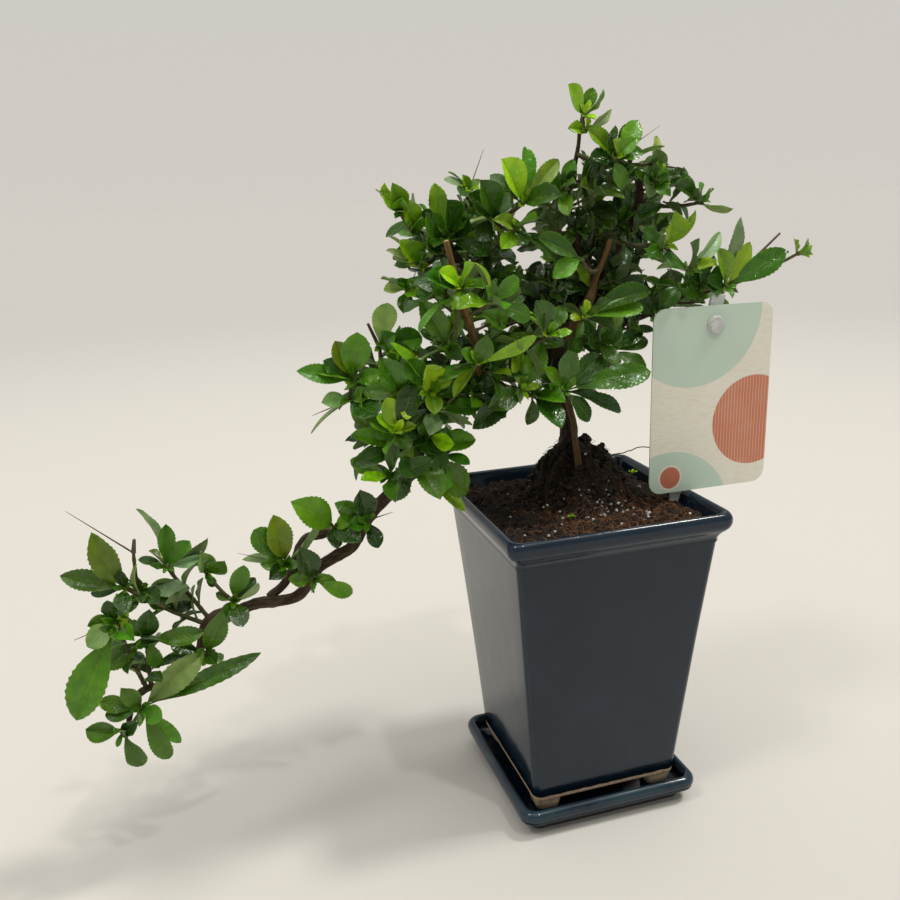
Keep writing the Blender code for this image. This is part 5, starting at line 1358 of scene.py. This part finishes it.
def pebble(size, flat=0.7):
    """Points and faces of a small uneven lump."""
    bm = bmesh.new()
    bmesh.ops.create_icosphere(bm, subdivisions=1, radius=1.0)
    seed = Vector(RANDOM.uniform(-50, 50, 3))
    points = np.array([v.co * (1 + 0.45 * noise.noise(v.co * 1.3 + seed)) for v in bm.verts])
    faces = [np.array([[v.index for v in f.verts] for f in bm.faces])]
    bm.free()
    turn = np.array(Matrix.Rotation(RANDOM.uniform(0, 6.3), 3, Vector(RANDOM.normal(size=3)).normalized()))
    return points @ turn.T * size * (1, 1, flat), faces


def soil_spot(bias=0.0):
    """A random place on the soil; a bias above 0 draws it to the mound."""
    while True:
        if RANDOM.uniform() < bias:
            angle, away = RANDOM.uniform(0, 6.3), RANDOM.uniform(4, 32)
            x, y = MOUND_X + away * math.cos(angle), MOUND_Y + away * math.sin(angle)
        else:
            x, y = RANDOM.uniform(-51, 51, 2)
        if max(abs(x), abs(y)) < LOOSE_HALF:
            return x, y


CRUMBS, CLODS, PERLITE_GRAINS = 2600, 600, 70
COIR_FIBRES, HAIR_ROOTS, SURFACE_ROOTS = 900, 420, 9


def make_crumbs():
    """Peat crumbs all over the soil, clods on its mound, and white perlite, most of it in front."""
    shape = Shape()
    for _ in range(CRUMBS):
        x, y = soil_spot(0.35)
        size = RANDOM.choice((0.35, 0.5, 0.7, 1.0, 1.5), p=(0.3, 0.3, 0.24, 0.12, 0.04))
        points, faces = pebble(size)
        shade = RANDOM.choice((0.25, 0.6, 1.2, 2.2)) * np.array(PEAT_CRUMB)
        shape.add(points + (x, y, rough_height(x, y) + size * 0.35), faces, 0, colour=(*shade, 1))
    for _ in range(CLODS):
        x, y = soil_spot(1.0)
        size = RANDOM.uniform(0.7, 1.55) ** 2
        points, faces = pebble(size, 0.9)
        shade = RANDOM.uniform(0.2, 1.3) * np.array(PEAT_CLOD)
        shape.add(points + (x, y, rough_height(x, y) + size * 0.4), faces, 0, colour=(*shade, 1))
    for k in range(PERLITE_GRAINS):
        x, y = RANDOM.normal((8, -24), (11, 8)) if k % 3 else soil_spot()
        size = RANDOM.uniform(0.4, 1.05)
        points, faces = pebble(size, 0.9)
        shade = RANDOM.uniform(0.42, 0.75) * np.array(PERLITE)
        shape.add(points + (x, y, rough_height(x, y) + 0.6 + size * 0.5), faces, 0, colour=(*shade, 1))
    return show(shape.build("soil_crumbs", [CRUMB], 40), "peat")


def wander(start, heading, length, radius, drop, hug=None):
    """Rows of a thin root or fibre that strays and drops; hug keeps it that far above the soil."""
    rows = []
    point, heading = Vector(start), Vector(heading).normalized()
    steps = max(5, round(length / 1.2))
    for k in range(steps + 1):
        rows.append((*point, max(0.1, radius * (1 - 0.7 * k / steps))))
        heading = (heading + Vector(RANDOM.normal(0, 0.22, 3)) + Vector((0, 0, -drop))).normalized()
        point = point + heading * length / steps
        if hug is not None:
            inside = [max(-CREEP_HALF, min(CREEP_HALF, at)) for at in point.xy]
            point = Vector((*inside, rough_height(*inside) + hug))
    return np.array(rows)


def make_fibres():
    """Reddish coir fibres lying on the soil, most in front, and fine roots over the mound."""
    shape = Shape()
    for k in range(COIR_FIBRES):
        x, y = soil_spot(0.3) if k % 3 == 0 else (RANDOM.uniform(-25, 50), RANDOM.uniform(-51, -8))
        if off_mound(x, y) < MOUND_RADIUS + 3:
            continue
        angle = RANDOM.uniform(0, 6.3)
        rows = wander((x, y, rough_height(x, y) + 0.3), (math.cos(angle), math.sin(angle), 0.3),
                      RANDOM.uniform(4, 13), RANDOM.uniform(0.10, 0.22), 0.03, RANDOM.uniform(0.2, 1.0))
        shape.add_tube(rows, 5, 0, (*(RANDOM.uniform(0.25, 1.5) * np.array(COIR)), 1))
    for _ in range(HAIR_ROOTS):
        angle = RANDOM.uniform(0, 6.3)
        away = RANDOM.uniform(4, 27)
        x, y = MOUND_X + away * math.cos(angle), MOUND_Y + away * math.sin(angle)
        outward = (math.cos(angle), math.sin(angle), 0.9)
        rows = wander((x, y, rough_height(x, y) - 0.5), outward, RANDOM.uniform(2, 7), 0.13, 0.30)
        shape.add_tube(rows, 5, 0, (*(RANDOM.uniform(0.2, 1.2) * np.array(FINE_ROOT)), 1))
    return show(shape.build("soil_fibres", [FIBRE], 180), "root")


def make_surface_roots():
    """The trunk's own roots, gripping the mound."""
    shape = Shape()
    for k in range(SURFACE_ROOTS):
        angle = math.radians(40 * k + 12)
        start = (3 + 3.2 * math.cos(angle), 15 + 3.2 * math.sin(angle), 200)
        rows = wander(start, (math.cos(angle), math.sin(angle), -0.9), RANDOM.uniform(14, 26),
                      RANDOM.uniform(1.2, 2.0), 0.05)
        rows[2:, 2] = [max(z, rough_height(x, y) - 0.2) for x, y, z in rows[2:, :3]]
        shape.add_tube(rows, 10, 0, (0.9, 0, 0, 1))
    return show(shape.build("surface_roots", [BARK], 180), "bark")


def make_seedlings():
    """Three tiny seedlings on the soil."""
    shape = Shape()
    for x, y in ((-14, -24), (49, 28), (38, 32)):
        base = Vector((x, y, rough_height(x, y)))
        top = base + Vector((RANDOM.uniform(-1, 1), RANDOM.uniform(-1, 0), RANDOM.uniform(2.5, 5)))
        add_spike(shape, base, top, 0.25, (0.12, 0.2, 0.03))
        for k in range(3):
            add_leaf(shape, top, (0, -0.3, 1), 120 * k + RANDOM.uniform(0, 50), RANDOM.uniform(5, 35),
                     RANDOM.uniform(2.2, 3.6), 1.7, "l")
    return show(shape.build("seedlings", [LEAF, TWIG]), "young_leaves")


# ---- the plant card and its stake ----
CREAM = (0.88, 0.85, 0.73)
MINT = (0.58, 0.73, 0.61)
TERRACOTTA = (0.62, 0.21, 0.12)
STRIPE_SPACING = 1.9


def card_finish():
    """A cream card with faint grain, two mint fields, a striped terracotta disc and a ringed dot."""
    made = Finish("printed_card", Specular_IOR_Level=0.4, Roughness=0.42)
    x, _, z = made.split(made.position())

    def disc(centre_x, centre_z, radius):
        """1 inside a disc whose centre is millimetres right of and below the card's top left corner."""
        across = made.math("SUBTRACT", x, (CARD_LEFT + centre_x) * MM)
        rise = made.math("SUBTRACT", z, (CARD_TOP - centre_z) * MM)
        squares = made.times_add(across, across, made.times(rise, rise))
        return made.step(made.math("SQRT", squares), (radius + 0.08) * MM, (radius - 0.08) * MM)

    grain = made.noise(9.0, 5, 0.6, vector=made.stretched((18, 1, 130)))
    paper = made.ramp(grain, (0.3, (0.81, 0.775, 0.65)), (0.5, CREAM), (0.7, (0.91, 0.89, 0.79)))
    shade = made.mix(disc(24, 2, 41), paper, MINT)
    shade = made.mix(disc(12, 116, 38), shade, MINT)
    shade = made.mix(disc(12.6, 92.5, 7.3), shade, (0.78, 0.78, 0.66))
    shade = made.mix(disc(12.6, 92.5, 6.1), shade, (0.56, 0.175, 0.10))
    stripes = made.math("SINE", made.times(x, 2 * math.pi / (STRIPE_SPACING * MM)))
    striped = made.mix(made.step(stripes, 0.55, 0.9), TERRACOTTA, (0.78, 0.42, 0.29))
    shade = made.mix(disc(62.9, 64.6, 25.2), shade, striped)
    fade = made.step(made.noise(40, 3), 0.4, 0.7, 0.0, 0.12)
    made.set("Base Color", made.mix(fade, shade, (0.80, 0.78, 0.68)))
    made.bump(grain, 0.00006, 0.5)
    return made.material


def clear_finish():
    """Slightly hazy clear plastic."""
    made = Finish("clear_plastic", Transmission_Weight=0.45, IOR=1.46, Specular_IOR_Level=0.5)
    haze = made.noise(120, 3)
    made.set("Base Color", made.ramp(haze, (0.3, (0.80, 0.83, 0.81)), (0.7, (0.90, 0.92, 0.90))))
    made.set("Roughness", made.step(haze, 0.3, 0.7, 0.16, 0.34))
    made.bump(made.noise(260, 2), 0.0002, 0.3)
    return made.material


def make_card():
    """The CAD's card and stake keep their shapes and take their finishes."""
    for node, finish in (("plant_card", card_finish()), ("card_stake", clear_finish())):
        mesh = frame["nodes"][node].data
        mesh.materials.clear()
        mesh.materials.append(finish)


ROOT_THREAD = [
    (23, 2, 196, 0.34), (30, 0, 197, 0.32), (39, -3, 200, 0.3), (47, -6, 197, 0.28), (51, -7, 186, 0.26),
    (50, -6, 175, 0.3),
]


def make_root_thread():
    """The thin root that arcs out of the root ball and back into the soil."""
    rows = smooth_path(ROOT_THREAD, 1.0)
    rows[:, 2] += [0.5 * noise.noise(Vector((row[0] * 0.4, 2, 0))) for row in rows]
    shape = Shape()
    shape.add_tube(rows, 8, 0, (0.16, 0.10, 0.06, 1))
    return show(shape.build("loose_root", [FIBRE], 180), "root", "root_thread")


# ---- studio ----
def make_studio():
    """A wide pale floor that fades into the surroundings, with painted light near the object and painted
    shade in front; soft suns and light from all round.
    """
    bm = bmesh.new()
    bmesh.ops.create_circle(bm, cap_ends=True, segments=96, radius=FLOOR_RADIUS)
    floor_mesh = bpy.data.meshes.new("floor")
    bm.to_mesh(floor_mesh)
    bm.free()
    floor = bpy.data.objects.new("floor", floor_mesh)
    bpy.context.scene.collection.objects.link(floor)
    paper = Finish("floor_paper", Roughness=0.9, Specular_IOR_Level=0.0)
    away = paper.node("ShaderNodeVectorMath", {0: paper.position()}, operation="LENGTH").outputs["Value"]
    # painted light: the floor is brighter near the object and fades outward
    sheet = paper.ramp(paper.step(away, *FLOOR_FADE), (0.0, FLOOR_NEAR), (1.0, FLOOR_FAR))
    # painted shade on the floor in front of the object
    front = paper.step(paper.split(paper.position())[1], *FRONT_FADE, 0.0, FRONT_SHARE)
    paper.set("Base Color", paper.mix(front, sheet, FLOOR_FRONT_PAINTED_SHADE))
    floor_mesh.materials.append(paper.material)

    world = bpy.data.worlds.new("studio")
    bpy.context.scene.world = world
    world.use_nodes = True
    sky = Graph(world.node_tree)
    toward = sky.node("ShaderNodeTexCoord").outputs["Generated"]
    rise = sky.split(toward)[2]
    shown_wall = sky.ramp(rise, (0.0, WALL), (0.35, WALL_ABOVE))

    def facing(direction):
        made = sky.node("ShaderNodeVectorMath", {0: toward, 1: direction}, operation="DOT_PRODUCT")
        return made.outputs["Value"]

    room = sky.step(facing(BRIGHT_WALL_TOWARD), -0.6, 0.8, 0.26, 0.50)
    softbox = sky.step(facing(SOFTBOX_TOWARD), 0.74, 0.95, 0.0, 1.15)
    light = sky.mix(1.0, WARM_WHITE, sky.math("ADD", room, softbox), "MULTIPLY")
    seen = sky.node("ShaderNodeLightPath").outputs["Is Camera Ray"]
    sky.put(sky.mix(seen, light, shown_wall), sky.nodes["Background"].inputs["Color"])

    for name, direction, breadth, strength in SUNS:
        lamp = bpy.data.lights.new(name, "SUN")
        lamp.angle = math.radians(breadth)
        lamp.energy = strength
        lamp.color = WARM_WHITE
        holder = bpy.data.objects.new(name, lamp)
        holder.rotation_euler = direction.to_track_quat("Z", "Y").to_euler()
        bpy.context.scene.collection.objects.link(holder)


def make_camera():
    """The camera looks at its target from the left of the pot's front, a little above, rolled slightly."""
    level = math.cos(CAMERA_ELEVATION)
    back = Vector((math.sin(CAMERA_AZIMUTH) * level, -math.cos(CAMERA_AZIMUTH) * level,
                   math.sin(CAMERA_ELEVATION)))
    right = (-back).cross(Vector((0, 0, 1))).normalized()
    up = right.cross(-back)
    c, s = math.cos(CAMERA_ROLL), math.sin(CAMERA_ROLL)
    x_axis, y_axis = right * c + up * s, up * c - right * s
    camera = bpy.data.cameras.new("camera")
    camera.lens = CAMERA_LENS
    camera.sensor_width = SENSOR_WIDTH
    camera.clip_start = 0.01
    camera.clip_end = 200
    holder = bpy.data.objects.new("camera", camera)
    turned = Matrix((x_axis, y_axis, back)).transposed().to_4x4()
    holder.matrix_world = Matrix.Translation(CAMERA_TARGET + back * CAMERA_DISTANCE) @ turned
    bpy.context.scene.collection.objects.link(holder)
    bpy.context.scene.camera = holder


LEAF = leaf_finish()
TWIG = twig_finish()
BARK = bark_finish()
GLAZE = glaze_finish()
CLAY = clay_finish()
PEAT = peat_finish()
CRUMB = speck_finish("crumbs", 0.8)
FIBRE = speck_finish("fibre", 0.7)

STEM_PATHS = {name: smooth_path(stations, STEM_STEP) for name, stations in STEMS.items()}
up_leader = np.clip((STEM_PATHS["trunk"][:, 2] - LEADER_TAPER_FROM) / LEADER_TAPER_OVER, 0, 1)
STEM_PATHS["trunk"][:, 3] *= 1 - LEADER_TAPER * up_leader
STEM_PATHS["low_right_limb"][:, 3] *= LOW_RIGHT_SHARE
STEM_POINTS = [row for path in STEM_PATHS.values() for row in path.tolist()]
for name, path in STEM_PATHS.items():
    make_stem(name, path)
for name, reach in LEAFY_STEMS.items():
    make_shoots(name, STEM_PATHS[name], *reach)
make_cut_shoot()
for name, rosettes in SPRAYS.items():
    make_spray(name, rosettes)
for number, (name, rosettes) in enumerate(BACK_SPRAYS.items()):
    make_spray(name, [(*rosette, ruled_leaves(BACK_LEAVES, BACK_LENGTH, BACK_WIDTH, 50 * number + 90 * k))
                      for k, rosette in enumerate(rosettes)])
make_pot()
make_saucer()
make_soil()
make_crumbs()
make_fibres()
make_surface_roots()
make_seedlings()
make_root_thread()
make_card()
make_studio()
make_camera()
bpy.context.scene.view_settings.view_transform = "Standard"
